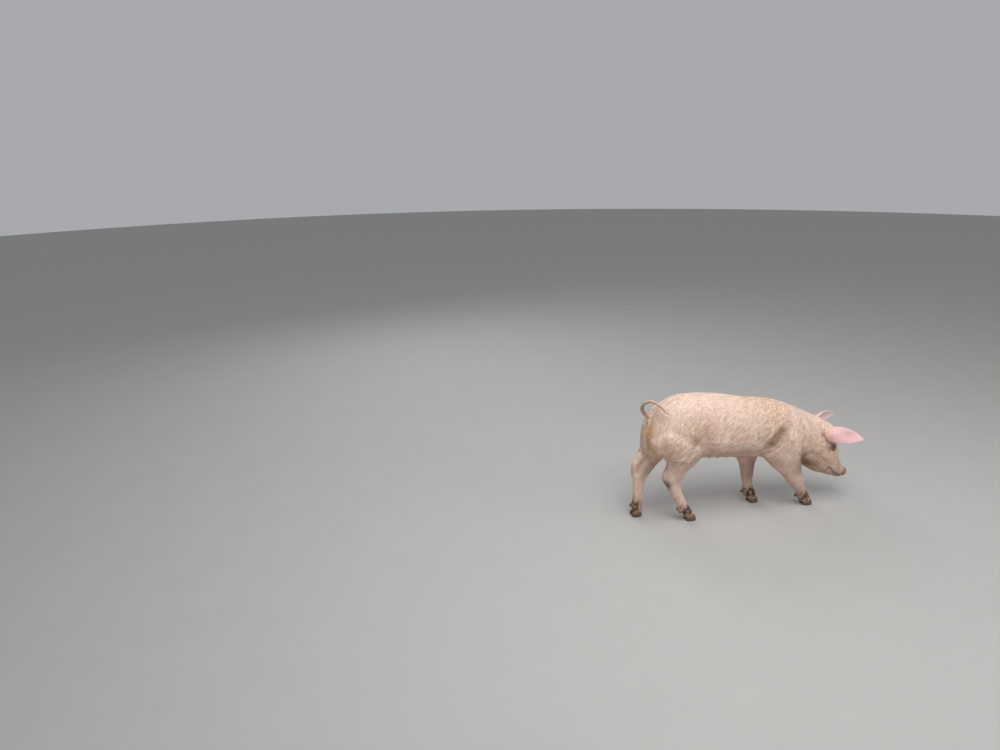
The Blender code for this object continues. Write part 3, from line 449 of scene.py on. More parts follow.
class PigletCoatSettings(bpy.types.PropertyGroup):
    """Thickness, number and colours of the bristles"""
    root_radius: length_setting(
        "Root Radius", "Half thickness of a bristle at its root", 0.00011, 0.00003, 0.0004
    )
    fullness: FloatProperty(
        name="Fullness", description="Share of the bristles that are grown", default=1.0, min=0.05, max=1.5,
        subtype="FACTOR",
    )
    cream: colour_setting("Cream", "Colour of the palest bristles", (0.95, 0.86, 0.77))
    gold: colour_setting("Gold", "Colour of the warmest bristles", (0.80, 0.58, 0.44))


class PigletEyeSettings(bpy.types.PropertyGroup):
    """Opening and colour of the eyes"""
    opening_length: length_setting(
        "Opening Length", "Length of the opening between the lids", 0.0104, 0.004, 0.015
    )
    opening_height: length_setting(
        "Opening Height", "Height of the opening between the lids", 0.0088, 0.002, 0.012
    )
    iris: colour_setting("Iris", "Colour of the iris", (0.060, 0.028, 0.014))


class PigletHoofSettings(bpy.types.PropertyGroup):
    """Growth rings and colours of the claws"""
    ring_pitch: length_setting("Ring Pitch", "Distance between growth rings", 0.0017, 0.0005, 0.005)
    horn: colour_setting("Horn", "Colour of the claws near the skin", (0.160, 0.082, 0.030))
    sole: colour_setting("Sole", "Colour of the claws near the floor", (0.050, 0.030, 0.017))


class PigletStageSettings(bpy.types.PropertyGroup):
    """Size and colour of the floor, and strength of the light"""
    floor_radius: length_setting("Floor Radius", "Radius of the round floor", 9.0, 1, 50)
    floor_colour: colour_setting("Floor Colour", "Colour of the floor", (0.45, 0.44, 0.42))
    key_power: FloatProperty(
        name="Key Power", description="Power of the large lamp overhead", default=30, min=0, unit="POWER",
    )
    sky_strength: FloatProperty(
        name="Sky Strength", description="Strength of the even light all round", default=0.42, min=0, max=5,
    )


def add_node(tree, kind, inputs=None, **settings):
    """Add a shader node, set it up, and link or fill its sockets."""
    item = tree.nodes.new("ShaderNode" + kind)
    for key, value in settings.items():
        setattr(item, key, value)
    for key, value in (inputs or {}).items():
        if isinstance(value, bpy.types.NodeSocket):
            tree.links.new(value, item.inputs[key])
        else:
            item.inputs[key].default_value = value
    return item


def maths(tree, operation, first, second=0.0, clamp=False):
    """One Math node's result."""
    return add_node(tree, "Math", {0: first, 1: second}, operation=operation, use_clamp=clamp).outputs[0]


def mixed(tree, share, first, second):
    """Two colours mixed by a share."""
    item = add_node(tree, "Mix", {0: share, 6: first, 7: second}, data_type="RGBA", blend_type="MIX")
    return item.outputs[2]


def marking(tree, name):
    """A marking kept on the mesh's points."""
    return add_node(tree, "Attribute", attribute_name=name).outputs["Fac"]


def noise(tree, place, scale, detail=3.0, roughness=0.55):
    """Fine irregularity at a scale in cells to the metre."""
    inputs = {"Vector": place, "Scale": scale, "Detail": detail, "Roughness": roughness}
    return add_node(tree, "TexNoise", inputs).outputs["Fac"]


def spread(tree, value, low, high):
    """Stretch a value so that low becomes 0 and high becomes 1."""
    item = add_node(tree, "MapRange", {"Value": value, "From Min": low, "From Max": high})
    item.interpolation_type = "SMOOTHSTEP"
    return item.outputs["Result"]


def bumped(tree, height, distance, strength=1.0, onto=None):
    """A bump over whatever bump lies under it."""
    inputs = {"Height": height, "Distance": distance, "Strength": strength}
    if onto is not None:
        inputs["Normal"] = onto
    return add_node(tree, "Bump", inputs).outputs["Normal"]


def new_material(name):
    """A material with only its shader and output, and the place of each point."""
    material = bpy.data.materials.new(name)
    material.use_nodes = True
    tree = material.node_tree
    shader = tree.nodes["Principled BSDF"]
    place = add_node(tree, "TexCoord").outputs["Object"]
    return material, tree, shader, place


def times(tree, first, second, clamp=False):
    """The product of two values."""
    return maths(tree, "MULTIPLY", first, second, clamp)


def plus(tree, first, second, clamp=False):
    """The sum of two values."""
    return maths(tree, "ADD", first, second, clamp)


def grain(tree, place, length, width):
    """Streaks along the coat's lie, whose slope the mesh keeps doubled, as its cosine and sine."""
    cosine, sine = marking(tree, "lay_cos"), marking(tree, "lay_sin")
    total, weights = 0.0, GRAIN_FLOOR
    for step in range(GRAIN_STEPS):
        slope = pi * step / GRAIN_STEPS
        forward = times(tree, cosine, cos(2 * slope))
        match = plus(tree, forward, times(tree, sine, sin(2 * slope)), True)
        weight = maths(tree, "POWER", match, GRAIN_FOCUS)
        inputs = {"Vector": place, "Rotation": (0.0, -slope, 0.0), "Scale": (length, width, width)}
        turned = add_node(tree, "Mapping", inputs, vector_type="TEXTURE")
        value = noise(tree, turned.outputs["Vector"], 1.0, 1.0, 0.5)
        total = plus(tree, times(tree, value, weight), total)
        weights = plus(tree, weight, weights)
    return maths(tree, "DIVIDE", total, weights)


def mud_and_shade_blotches(tree, place):
    """How much wet dirt, and painted shade at the mouth's corners and behind the jowls, lies on each point,
    in blotches.
    """
    blotches = spread(tree, noise(tree, place, MUD_AND_SHADE_SCALE, 3, 0.6), 0.44, 0.56)
    return times(tree, marking(tree, "mud_and_shade"), blotches)


def solid(colour):
    """A colour with full cover."""
    return (*colour, 1.0)


def laid(tree, colour, name, strength, paint):
    """A colour with another one laid over it where the mesh keeps a marking."""
    return mixed(tree, times(tree, marking(tree, name), strength), colour, solid(paint))


def toned(colour, share, more=0.0):
    """A colour made lighter or darker, no brighter than white."""
    return tuple(min(1.0, share * part + more) for part in colour)


def blended(first, second, share):
    """Two plain colours, blended."""
    return tuple((1.0 - share) * a + share * b for a, b in zip(first, second))


def ear_spots(tree, place):
    """Small dots scattered over the ears."""
    cells = add_node(tree, "TexVoronoi", {"Vector": place, "Scale": DOT_CELLS})
    chance = add_node(tree, "SeparateColor", {"Color": cells.outputs["Color"]}).outputs["Red"]
    dot = times(tree, spread(tree, cells.outputs["Distance"], 0.13, 0.08), spread(tree, chance, 0.86, 0.90))
    return times(tree, dot, marking(tree, "ear"))


def hide_colour(tree, settings, place, fine, wisps, hairs, downy):
    """The skin's colour with all its markings, painted shade and painted light, and how much dirt and painted
    shade lie on it.
    """
    wide = noise(tree, place, 34, 3)
    speck = noise(tree, place, 900, 2, 0.6)
    pale = solid(toned(settings.pink, 1.08, 0.02))
    colour = mixed(tree, spread(tree, wide, 0.35, 0.68), solid(settings.pink), pale)
    red = times(tree, spread(tree, fine, 0.50, 0.78), 0.25)
    colour = mixed(tree, red, colour, solid(settings.blush))
    colour = laid(tree, colour, "blush", 0.85, settings.blush)
    # Warm patches, with painted shade before the hips and on the lower hams
    colour = laid(tree, colour, "tan", spread(tree, wide, 0.10, 0.60), settings.tan)
    lock = times(tree, times(tree, spread(tree, wisps, 0.42, 0.60), 0.70), downy)
    colour = mixed(tree, lock, colour, solid(settings.down))
    strand = times(tree, times(tree, spread(tree, hairs, 0.46, 0.60), 0.35), downy)
    colour = mixed(tree, strand, colour, solid(settings.down))
    colour = laid(tree, colour, "ear", 0.9, settings.ear)
    winding = maths(tree, "ABSOLUTE", maths(tree, "SUBTRACT", noise(tree, place, 55, 2, 0.5), 0.5))
    vein = times(tree, spread(tree, winding, 0.020, 0.0), 0.45)
    colour = laid(tree, colour, "ear", vein, settings.blush)
    # Painted light in the ears' cups
    colour = laid(tree, colour, "ear_cup", 1.0, settings.ear_painted_light)
    # Painted shade on the upper part of the ears
    colour = laid(tree, colour, "ear_painted_shade", 0.85, settings.ear_painted_shade)
    # Painted light on the ears' thin edges
    colour = laid(tree, colour, "ear_painted_light", 0.80, settings.ear_painted_light)
    colour = mixed(tree, ear_spots(tree, place), colour, DOT_RED)
    colour = laid(tree, colour, "bare", 0.8, settings.snout)
    patchy = plus(tree, times(tree, spread(tree, fine, 0.30, 0.62), 0.45), 0.62)
    # Dirt, and painted shade where the marking carries it
    soil_and_shade = times(tree, marking(tree, "soil_and_shade"), patchy, clamp=True)
    dust = times(tree, spread(tree, speck, 0.60, 0.75), 0.22)
    soil_and_shade = plus(tree, soil_and_shade, times(tree, dust, plus(tree, soil_and_shade, 0.15)), clamp=True)
    colour = mixed(tree, soil_and_shade, colour, solid(settings.soil_and_shade))
    # Wet dirt, and painted shade at the mouth's corners and behind the jowls
    colour = mixed(tree, mud_and_shade_blotches(tree, place), colour, solid(settings.mud_and_shade))
    colour = laid(tree, colour, "ochre", spread(tree, fine, 0.30, 0.50), settings.ochre)
    # Dark rim marks, with painted shade along the mouth, in the nostrils and round the eyes
    return mixed(tree, marking(tree, "rim"), colour, RIM_AND_SHADE_DARK), soil_and_shade


def hide_relief(tree, place, fine, wisps, hairs, downy):
    """Pores, fine creases and flat hairs as one bump."""
    pores = add_node(tree, "TexVoronoi", {"Vector": place, "Scale": PORE_CELLS}).outputs["Distance"]
    cells = {"Vector": place, "Scale": CREASE_CELLS}
    creases = add_node(tree, "TexVoronoi", cells, feature="DISTANCE_TO_EDGE")
    relief = bumped(tree, spread(tree, creases.outputs["Distance"], 0.0, 0.16), 0.00010, 0.5)
    relief = bumped(tree, times(tree, wisps, downy), 0.00060, 0.5, relief)
    relief = bumped(tree, times(tree, hairs, downy), 0.00020, 0.5, relief)
    relief = bumped(tree, pores, 0.00008, 0.5, relief)
    return bumped(tree, fine, 0.00014, 0.5, relief)


def hide_material(settings):
    """Pig skin: mottled pink with blush, warm patches, dirt, painted shade and painted light, and down,
    pores, fine wrinkles and hairs.
    """
    material, tree, shader, place = new_material("piglet_hide")
    fine = noise(tree, place, 260, 4, 0.65)
    wisps = grain(tree, place, *WISP_GRAIN)
    hairs = grain(tree, place, *HAIR_GRAIN)
    bare = marking(tree, "bare")
    downless = maths(tree, "MAXIMUM", bare, times(tree, marking(tree, "ear"), 0.75))
    downy = maths(tree, "SUBTRACT", 1.0, downless)
    colour, soil_and_shade = hide_colour(tree, settings, place, fine, wisps, hairs, downy)
    tree.links.new(colour, shader.inputs["Base Color"])
    tree.links.new(hide_relief(tree, place, fine, wisps, hairs, downy), shader.inputs["Normal"])
    rough = plus(tree, times(tree, spread(tree, fine, 0.25, 0.75), 0.14), 0.50)
    rough = maths(tree, "SUBTRACT", rough, times(tree, bare, 0.16))
    tree.links.new(plus(tree, rough, times(tree, soil_and_shade, 0.18), True), shader.inputs["Roughness"])
    shader.inputs["Subsurface Weight"].default_value = 0.22
    shader.inputs["Subsurface Radius"].default_value = (1.0, 0.36, 0.20)
    shader.inputs["Subsurface Scale"].default_value = 0.0035
    shader.inputs["Specular IOR Level"].default_value = 0.40
    return material


def bristle_material(settings, skin):
    """Bristles from cream to gold, that take the skin's warm patches, dirt and painted shade."""
    material, tree, shader, place = new_material("bristle")
    streak = spread(tree, grain(tree, place, *WISP_GRAIN), 0.40, 0.60)
    share = plus(tree, times(tree, streak, -0.85), plus(tree, marking(tree, "shade"), 0.42), True)
    colour = mixed(tree, share, solid(settings.cream), solid(settings.gold))
    rooted = times(tree, maths(tree, "SUBTRACT", 1.0, marking(tree, "tip")), 0.40)
    colour = mixed(tree, rooted, colour, solid(skin.pink))
    # Warm patches on the bristles, with painted shade before the hips and on the lower hams
    colour = laid(tree, colour, "tan", 0.92, blended(settings.gold, skin.tan, 0.75))
    colour = laid(tree, colour, "blush", 0.8, blended(settings.cream, skin.blush, 0.58))
    colour = laid(tree, colour, "ear", 0.85, skin.ear)
    patchy = spread(tree, noise(tree, place, 260, 4, 0.65), 0.30, 0.62)
    # Dirt on the bristles, and painted shade where the marking carries it
    soil_and_shade = times(tree, marking(tree, "soil_and_shade"), plus(tree, times(tree, patchy, 0.35), 0.72))
    bristle_dirt_and_shade = tuple(0.05 * a + 0.80 * b for a, b in zip(settings.gold, skin.soil_and_shade))
    colour = mixed(tree, times(tree, soil_and_shade, 0.95, True), colour, solid(bristle_dirt_and_shade))
    # Wet dirt, and painted shade at the mouth's corners and behind the jowls
    colour = mixed(tree, mud_and_shade_blotches(tree, place), colour, solid(skin.mud_and_shade))
    colour = laid(tree, colour, "ochre", spread(tree, patchy, 0.20, 0.60), skin.ochre)
    tree.links.new(colour, shader.inputs["Base Color"])
    shader.inputs["Roughness"].default_value = 0.46
    shader.inputs["Specular IOR Level"].default_value = 0.40
    return material


def hoof_material(settings):
    """Horn with growth rings, darker and soiled towards the sole."""
    material, tree, shader, place = new_material("hoof_horn")
    axes = add_node(tree, "SeparateXYZ", {"Vector": place})
    low = spread(tree, axes.outputs["Z"], 0.0135, 0.0005)
    stain = noise(tree, place, 190, 4, 0.6)
    share = plus(tree, low, times(tree, maths(tree, "SUBTRACT", stain, 0.5), 1.8), True)
    colour = mixed(tree, share, solid(settings.horn), solid(settings.sole))
    inputs = {"Vector": place, "Scale": 0.16 / settings.ring_pitch, "Distortion": 1.6, "Detail": 2.0}
    rings = add_node(tree, "TexWave", inputs, bands_direction="Z")
    banding = times(tree, rings.outputs["Fac"], 0.30)
    colour = mixed(tree, banding, colour, (0.38, 0.24, 0.12, 1.0))
    dust = spread(tree, noise(tree, place, 1500, 3), 0.56, 0.74)
    colour = mixed(tree, times(tree, dust, 0.22), colour, (0.36, 0.28, 0.19, 1.0))
    tree.links.new(colour, shader.inputs["Base Color"])
    relief = bumped(tree, rings.outputs["Fac"], 0.00012, 0.6)
    relief = bumped(tree, stain, 0.00035, 0.7, relief)
    tree.links.new(relief, shader.inputs["Normal"])
    tree.links.new(plus(tree, times(tree, stain, 0.25), 0.36), shader.inputs["Roughness"])
    return material


def eye_material(settings, side, centre, gaze):
    """A wet dark eye: round pupil, brown iris with fine rays, narrow dark rim and veined white."""
    material, tree, shader, place = new_material("eye_" + side)
    out = add_node(tree, "VectorMath", {0: place, 1: tuple(centre)}, operation="SUBTRACT").outputs[0]
    aim = add_node(tree, "VectorMath", {0: out, 1: tuple(gaze)}, operation="DOT_PRODUCT").outputs["Value"]
    size = add_node(tree, "VectorMath", {0: out}, operation="LENGTH").outputs["Value"]
    off_axis = maths(tree, "ARCCOSINE", maths(tree, "DIVIDE", aim, size, True))
    rays = spread(tree, noise(tree, place, 1800, 4, 0.7), 0.40, 0.65)
    iris = mixed(tree, rays, solid(settings.iris), solid(toned(settings.iris, 1.8)))
    colour = mixed(tree, spread(tree, off_axis, *PUPIL_EDGE), iris, PUPIL)
    colour = mixed(tree, spread(tree, off_axis, *IRIS_EDGE), colour, IRIS_RIM)
    white = mixed(tree, spread(tree, noise(tree, place, 1100, 3), 0.52, 0.70), EYE_WHITE, EYE_VEINS)
    colour = mixed(tree, spread(tree, off_axis, *WHITE_EDGE), colour, white)
    tree.links.new(colour, shader.inputs["Base Color"])
    shader.inputs["Roughness"].default_value = 0.16
    shader.inputs["Specular IOR Level"].default_value = 0.25
    shader.inputs["Coat Weight"].default_value = 0.22
    shader.inputs["Coat Roughness"].default_value = 0.03
    return material


def floor_material(settings):
    """A plain pale floor with a trace of unevenness."""
    material, tree, shader, place = new_material("pale_floor")
    mottle = noise(tree, place, 9, 4)
    darker = tuple(0.94 * part for part in settings.floor_colour)
    colour = mixed(tree, mottle, solid(darker), solid(settings.floor_colour))
    tree.links.new(colour, shader.inputs["Base Color"])
    tree.links.new(bumped(tree, noise(tree, place, 320, 3), 0.0004, 0.3), shader.inputs["Normal"])
    shader.inputs["Roughness"].default_value = 0.85
    return material


def mesh_from(name, points, faces):
    """A mesh from arrays of points and of triangles or quads."""
    data = bpy.data.meshes.new(name)
    count, sides = faces.shape
    data.vertices.add(len(points))
    data.vertices.foreach_set("co", np.ascontiguousarray(points, np.float32).ravel())
    data.loops.add(count * sides)
    data.loops.foreach_set("vertex_index", np.ascontiguousarray(faces, np.int32).ravel())
    data.polygons.add(count)
    data.polygons.foreach_set("loop_start", np.arange(0, count * sides, sides, dtype=np.int32))
    data.update(calc_edges=True)
    data.shade_smooth()
    return data


def show(name, data, material, replaced=()):
    """Link a mesh as a piece that rides on the frame's body and wears a material."""
    piece = bpy.data.objects.new(name, data)
    bpy.context.scene.collection.objects.link(piece)
    piece.data.materials.clear()
    piece.data.materials.append(material)
    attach(piece, "root")
    if replaced:
        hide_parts(*replaced)
    return piece


def evaluated(piece):
    """The mesh that an object's modifiers give."""
    graph = bpy.context.evaluated_depsgraph_get()
    return bpy.data.meshes.new_from_object(piece.evaluated_get(graph))


def modified(data, settings):
    """A mesh after a row of modifiers, each a name, a kind and its settings."""
    piece = bpy.data.objects.new("working", data)
    bpy.context.scene.collection.objects.link(piece)
    for kind, values in settings:
        step = piece.modifiers.new(kind.lower(), kind)
        for key, value in values.items():
            setattr(step, key, value)
    done = evaluated(piece)
    bpy.data.objects.remove(piece)
    bpy.data.meshes.remove(data)
    return done


def points_of(data, kind="co"):
    """The points or normals of a mesh as an array."""
    values = np.zeros(len(data.vertices) * 3, np.float32)
    source = data.vertices if kind == "co" else data.vertex_normals
    source.foreach_get("co" if kind == "co" else "vector", values)
    return values.reshape(-1, 3).astype(float)


def corners_of(data):
    """The triangles of a mesh as an array of point numbers."""
    data.calc_loop_triangles()
    corners = np.zeros(len(data.loop_triangles) * 3, np.int32)
    data.loop_triangles.foreach_get("vertices", corners)
    return corners.reshape(-1, 3)


def put_points(data, points):
    """Move the points of a mesh."""
    data.vertices.foreach_set("co", points.astype(np.float32).ravel())
    data.update()


def joined(parts):
    """The points and faces of several meshes as one."""
    all_points = []
    all_faces = []
    start = 0
    for points, faces in parts:
        all_points.append(points)
        all_faces.append(faces + start)
        start += len(points)
    return np.vstack(all_points), np.vstack(all_faces)


def tree_of(data):
    """A search tree over a mesh."""
    points = [tuple(point) for point in points_of(data)]
    return BVHTree.FromPolygons(points, [tuple(face) for face in corners_of(data)])


def unit(rows):
    """Rows scaled to length 1."""
    return rows / np.maximum(np.linalg.norm(rows, axis=1, keepdims=True), 1e-9)


def rounded_solid(name, levels):
    """A solid of the frame with its facets rounded, and its creases and cut rims kept."""
    mesh = bmesh.new()
    mesh.from_mesh(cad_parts[name].data)
    bmesh.ops.remove_doubles(mesh, verts=mesh.verts, dist=1e-6)
    bmesh.ops.recalc_face_normals(mesh, faces=mesh.faces)
    crease = mesh.edges.layers.float.new("crease_edge")
    for edge in mesh.edges:
        if len(edge.link_faces) == 2 and edge.calc_face_angle(0) > CREASE_ANGLE:
            edge[crease] = 1.0
    data = bpy.data.meshes.new(name + "_round")
    mesh.to_mesh(data)
    mesh.free()
    return modified(data, [("SUBSURF", {"levels": levels, "render_levels": levels})])


class Web:
    """The edges of a mesh, for averaging values over neighbours."""

    def __init__(self, data):
        ends = np.zeros(len(data.edges) * 2, np.int32)
        data.edges.foreach_get("vertices", ends)
        self.start, self.finish = ends.reshape(-1, 2).T
        self.size = len(data.vertices)
        self.count = sum(np.bincount(ends, minlength=self.size) for ends in (self.start, self.finish))

    def mean(self, values):
        """The mean of each point's neighbours."""
        rows = values.reshape(self.size, -1)
        total = np.empty_like(rows)
        for column in range(rows.shape[1]):
            part = rows[:, column]
            total[:, column] = np.bincount(self.start, part[self.finish], self.size)
            total[:, column] += np.bincount(self.finish, part[self.start], self.size)
        return (total / np.maximum(self.count, 1)[:, None]).reshape(values.shape)

    def smooth(self, values, steps, share=0.5):
        """Values after a number of steps towards their neighbours' mean."""
        for _ in range(steps):
            values = values + share * (self.mean(values) - values)
        return values


def near_line(points, line):
    """The distance of every point to a line of straight stretches."""
    best = np.full(len(points), 9.0)
    for start, end in zip(line, line[1:]):
        start, end = np.array(start), np.array(end)
        run = end - start
        share = np.clip((points - start) @ run / max(run @ run, 1e-12), 0.0, 1.0)
        best = np.minimum(best, np.linalg.norm(points - start - share[:, None] * run, axis=1))
    return best


def curved(line, count=9):
    """A line of points made denser and rounder."""
    rows = np.array(line, float)
    knots = np.concatenate(([0.0], np.cumsum(np.linalg.norm(np.diff(rows, axis=0), axis=1))))
    places = np.linspace(0.0, knots[-1], count * (len(rows) - 1))
    dense = np.column_stack([np.interp(places, knots, rows[:, axis]) for axis in range(rows.shape[1])])
    for _ in range(count):
        dense[1:-1] += 0.5 * ((dense[:-2] + dense[2:]) / 2 - dense[1:-1])
    return dense


def on_side(tree, line, turn, face=1):
    """A line drawn on the profile, put on the outer (1) or inner (-1) skin of one side."""
    start = turn * 0.2 if face > 0 else 0.0
    hits = [tree.ray_cast(Vector((x, start, z)), Vector((0, -turn * face, 0)))[0] for x, z in curved(line)]
    return [tuple(hit) for hit in hits if hit is not None]


def foot_middle(foot):
    """The middle of a foot's two main claws."""
    return (landmark(foot + "_claw_outer") + landmark(foot + "_claw_inner")) / 2


def falloff(points, place, reach, power=2):
    """From 1 at a place down to 0 past its reach."""
    return np.exp(-(np.linalg.norm(points - place, axis=1) / reach) ** power)


def blob(points, place, reach):
    """From 1 at a place down to 0, with a reach of its own along each axis."""
    return np.exp(-(((points - np.array(place)) / np.array(reach)) ** 2).sum(axis=1))


def foot_creases(points, normals, foot):
    """How deep each point lies in a foot's slit and pastern creases."""
    middle = foot_middle(foot)
    near = np.linalg.norm((points - middle)[:, :2], axis=1) < FOOT_REACH
    across = (points[:, 1] - middle[1]) / SLIT_WIDTH
    low = np.clip((SLIT_TOP - points[:, 2]) / SLIT_FADE, 0.0, 1.0)
    slit = SLIT_DEPTH * np.exp(-across**2) * low * np.abs(normals[:, 0])
    band = np.clip((PASTERN_TOP - points[:, 2]) / PASTERN_FADE, 0.0, 1.0)
    wander = CREASE_WANDER * np.sin(points[:, 1] * 330 + middle[0] * 900)
    wave = np.cos(2 * pi * (points[:, 2] + wander + 0.25 * (points[:, 0] - middle[0])) / PASTERN_PITCH)
    crease = PASTERN_DEPTH * band * np.clip(wave - CREASE_GATE, 0.0, 1.0) / (1.0 - CREASE_GATE)
    return (slit + crease) * near


def landmark(node):
    """The middle of a solid's box."""
    low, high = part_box(node)
    return np.array((low + high) / 2)


def eye_axes(side):
    """An eye's centre and radius, and its outward, forward and upward directions."""
    low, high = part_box("eye_" + side)
    centre, radius = np.array((low + high) / 2), (high.z - low.z) / 2
    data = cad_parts["head"].data
    points, normals = points_of(data), points_of(data, "normal")
    away = np.linalg.norm(points - centre, axis=1)
    ring = (away > SOCKET_RING[0]) & (away < SOCKET_RING[1]) & (SIDES[side] * normals[:, 1] > 0.5)
    gaze = unit(normals[ring].mean(axis=0)[None])[0]
    forward = np.array(EYE_SLANT) - gaze * np.dot(EYE_SLANT, gaze)
    forward /= np.linalg.norm(forward)
    upward = np.cross(gaze, forward) * -SIDES[side]
    return centre, radius, gaze, forward, upward


def region_of(node):
    """The region of the coat that a solid belongs to."""
    return next((region for word, region in REGION_WORDS.items() if word in node), "lower_leg")


def region_shares(points, web):
    """How much each point belongs to each region, blended over their borders."""
    labels = []
    places = []
    for name in FLESH:
        rows = points_of(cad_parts[name].data)
        places.append(rows)
        labels += [REGIONS.index(region_of(name))] * len(rows)
    places = np.vstack(places)
    tree = KDTree(len(places))
    for number, place in enumerate(places):
        tree.insert(place, number)
    tree.balance()
    nearest = [labels[tree.find(point)[1]] for point in points]
    shares = np.eye(len(REGIONS))[nearest]
    return web.smooth(shares, REGION_STEPS)


def share_of(shares, region):
    """One region's column."""
    return shares[:, REGIONS.index(region)]


def by_region(shares, table):
    """A value from a table of regions, blended by the shares."""
    return shares @ np.array([table[region] for region in REGIONS])


def ear_and_tail_lie(points, shares):
    """The lie along the ears and round the tail's curl."""
    ear = np.zeros_like(points)
    for side, turn in SIDES.items():
        low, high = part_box("ear_" + side)
        root = np.array((low.x, low.y if turn > 0 else high.y, (low.z + high.z) / 2))
        tip = np.array((high.x, high.y if turn > 0 else low.y, (low.z + high.z) / 2))
        ear[points[:, 1] * turn > 0] = unit((tip - root)[None])[0]
    boxes = [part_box(node) for node in ("tail_curl", "tail_tip")]
    low = np.minimum(*[np.array(box[0]) for box in boxes])
    high = np.maximum(*[np.array(box[1]) for box in boxes])
    curl = np.cross((0.0, 1.0, 0.0), points - (low + high) / 2 + np.array((0.0, 0.0, CURL_DROP)))
    return share_of(shares, "ear")[:, None] * ear, share_of(shares, "tail")[:, None] * unit(curl)


def muzzle_share(points):
    """How far each point has come from the cheek to the muzzle."""
    return np.clip((points[:, 0] - MUZZLE_START) / (MUZZLE_FULL - MUZZLE_START), 0.0, 1.0)


def lie_of_coat(points, normals, shares, web):
    """The direction that the coat lies in at every point, along the skin."""
    lie = np.zeros_like(points)
    outward = SPINE_LEAN * np.clip(points[:, 1] / SPINE_REACH, -1.0, 1.0)
    for region, table in LIE_SLOPE.items():
        heights, slopes = np.array(table).T
        slope = np.radians(np.interp(points[:, 2], heights, slopes))
        lean = outward if region in ("trunk", "neck") else 0.0 * slope
        aim = np.column_stack([-np.cos(slope), lean, -np.sin(slope)])
        lie += share_of(shares, region)[:, None] * aim
    muzzle = muzzle_share(points)[:, None]
    face = (share_of(shares, "head") + share_of(shares, "snout"))[:, None]
    lie += face * (np.array(CHEEK_LIE) * (1.0 - muzzle) + np.array(MUZZLE_LIE) * muzzle)
    for part in ear_and_tail_lie(points, shares):
        lie += part
    for _ in range(LIE_ROUNDS):
        lie = web.smooth(unit(lie), LIE_STEPS)
        lie -= normals * (lie * normals).sum(axis=1)[:, None]
    return unit(lie)


def spots(points, table):
    """The strength of a marking made of soft spots; a spot placed on the left holds for both sides."""
    total = np.zeros(len(points))
    mirrored = points.copy()
    mirrored[:, 1] = np.abs(points[:, 1])
    for place, reach, strength in table.values():
        total = np.maximum(total, strength * blob(points if place[1] < 0 else mirrored, place, reach))
    return total


def teats(tree):
    """The place of each teat on the skin."""
    down = Vector((0, 0, 1))
    for turn in SIDES.values():
        for number in range(TEAT_ROWS):
            below = Vector((TEAT_FIRST + number * TEAT_PITCH, turn * TEAT_OFFSET, 0.08))
            hit = tree.ray_cast(below, down)[0]
            if hit is not None:
                yield np.array(hit)


def mouth_line(tree, turn):
    """The mouth's line on the skin of one side."""
    guide = curved([(x, turn * y, z) for x, y, z in MOUTH], 5)
    return [tuple(tree.find_nearest(Vector(point))[0]) for point in guide]


def fold_lines(tree):
    """Each fold's line on the skin, its width and depth, and the share of it raised beside."""
    for line, *values in FOLDS.values():
        for turn in SIDES.values():
            yield on_side(tree, line, turn), *values
    for turn, face, line, *values in LEG_FOLDS.values():
        yield on_side(tree, line, turn, face), *values
    behind = [Vector((x - CLEFT_START, 0, z)) for x, z in curved(CLEFT)]
    yield [tuple(tree.ray_cast(place, Vector((1, 0, 0)))[0]) for place in behind], *CLEFT_FORM
    for turn in SIDES.values():
        yield mouth_line(tree, turn), *MOUTH_FORM


def fold_shift(points, line, width, depth, edge):
    """How far a fold moves each point in, and out beside it."""
    away = near_line(points, line) / width
    return depth * edge * np.exp(-((away - EDGE_PLACE) / EDGE_WIDTH) ** 2) - depth * np.exp(-away**2)


def snout_wrinkles(points):
    """How deep each point lies in the wrinkles over the snout."""
    total = np.zeros(len(points))
    for number in range(SNOUT_WRINKLES):
        middle = landmark("snout_disc") - NOSE_AIM * (WRINKLE_START + number * WRINKLE_PITCH)
        across = np.abs((points - middle) @ NOSE_AIM) / WRINKLE_WIDTH
        close = np.linalg.norm(points - middle, axis=1) < WRINKLE_REACH
        above = np.clip((points[:, 2] - middle[2] + 0.004) / 0.012, 0.0, 1.0)
        wave = 1.0 + 0.4 * np.sin(points[:, 1] * 420 + number * 2.1)
        fade = 1.0 - number / (SNOUT_WRINKLES + 1)
        total += WRINKLE_DEPTH * fade * wave * above * close * np.exp(-across**2)
    return total


def nostril(turn):
    """The middle of a nostril on the disc."""
    return landmark("snout_disc") + np.array((0.0, turn * NOSTRIL_SIDE, 0.0))


def dents_and_swells(points, tree):
    """How far each point moves into the nostrils, and out with the teats and round the dewclaws."""
    moved = np.zeros_like(points)
    for turn in SIDES.values():
        reach = points - nostril(turn) - NOSE_RISE * NOSTRIL_RISE
        side, rise = reach[:, 1] / NOSTRIL_WIDTH, (reach @ NOSE_RISE) / (NOSTRIL_WIDTH * NOSTRIL_OVAL)
        near = np.exp(-(side**2 + rise**2) ** 2) * (np.linalg.norm(reach, axis=1) < NOSTRIL_REACH)
        moved -= np.outer(NOSTRIL_DEPTH * near, NOSE_AIM)
    for teat in teats(tree):
        moved[:, 2] -= TEAT_SWELL * falloff(points, teat, TEAT_REACH)
    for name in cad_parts:
        if "dewclaw" in name:
            hit, out, _, _ = tree.find_nearest(Vector(landmark(name)))
            reach = points - np.array(hit)
            away = np.linalg.norm(reach - np.outer(reach @ np.array(out), out), axis=1)
            close = np.exp(-(away / DEWCLAW_SPREAD) ** 4) * (np.linalg.norm(reach, axis=1) < DEWCLAW_REACH)
            moved += np.outer(DEWCLAW_BULGE * close, out)
    return moved


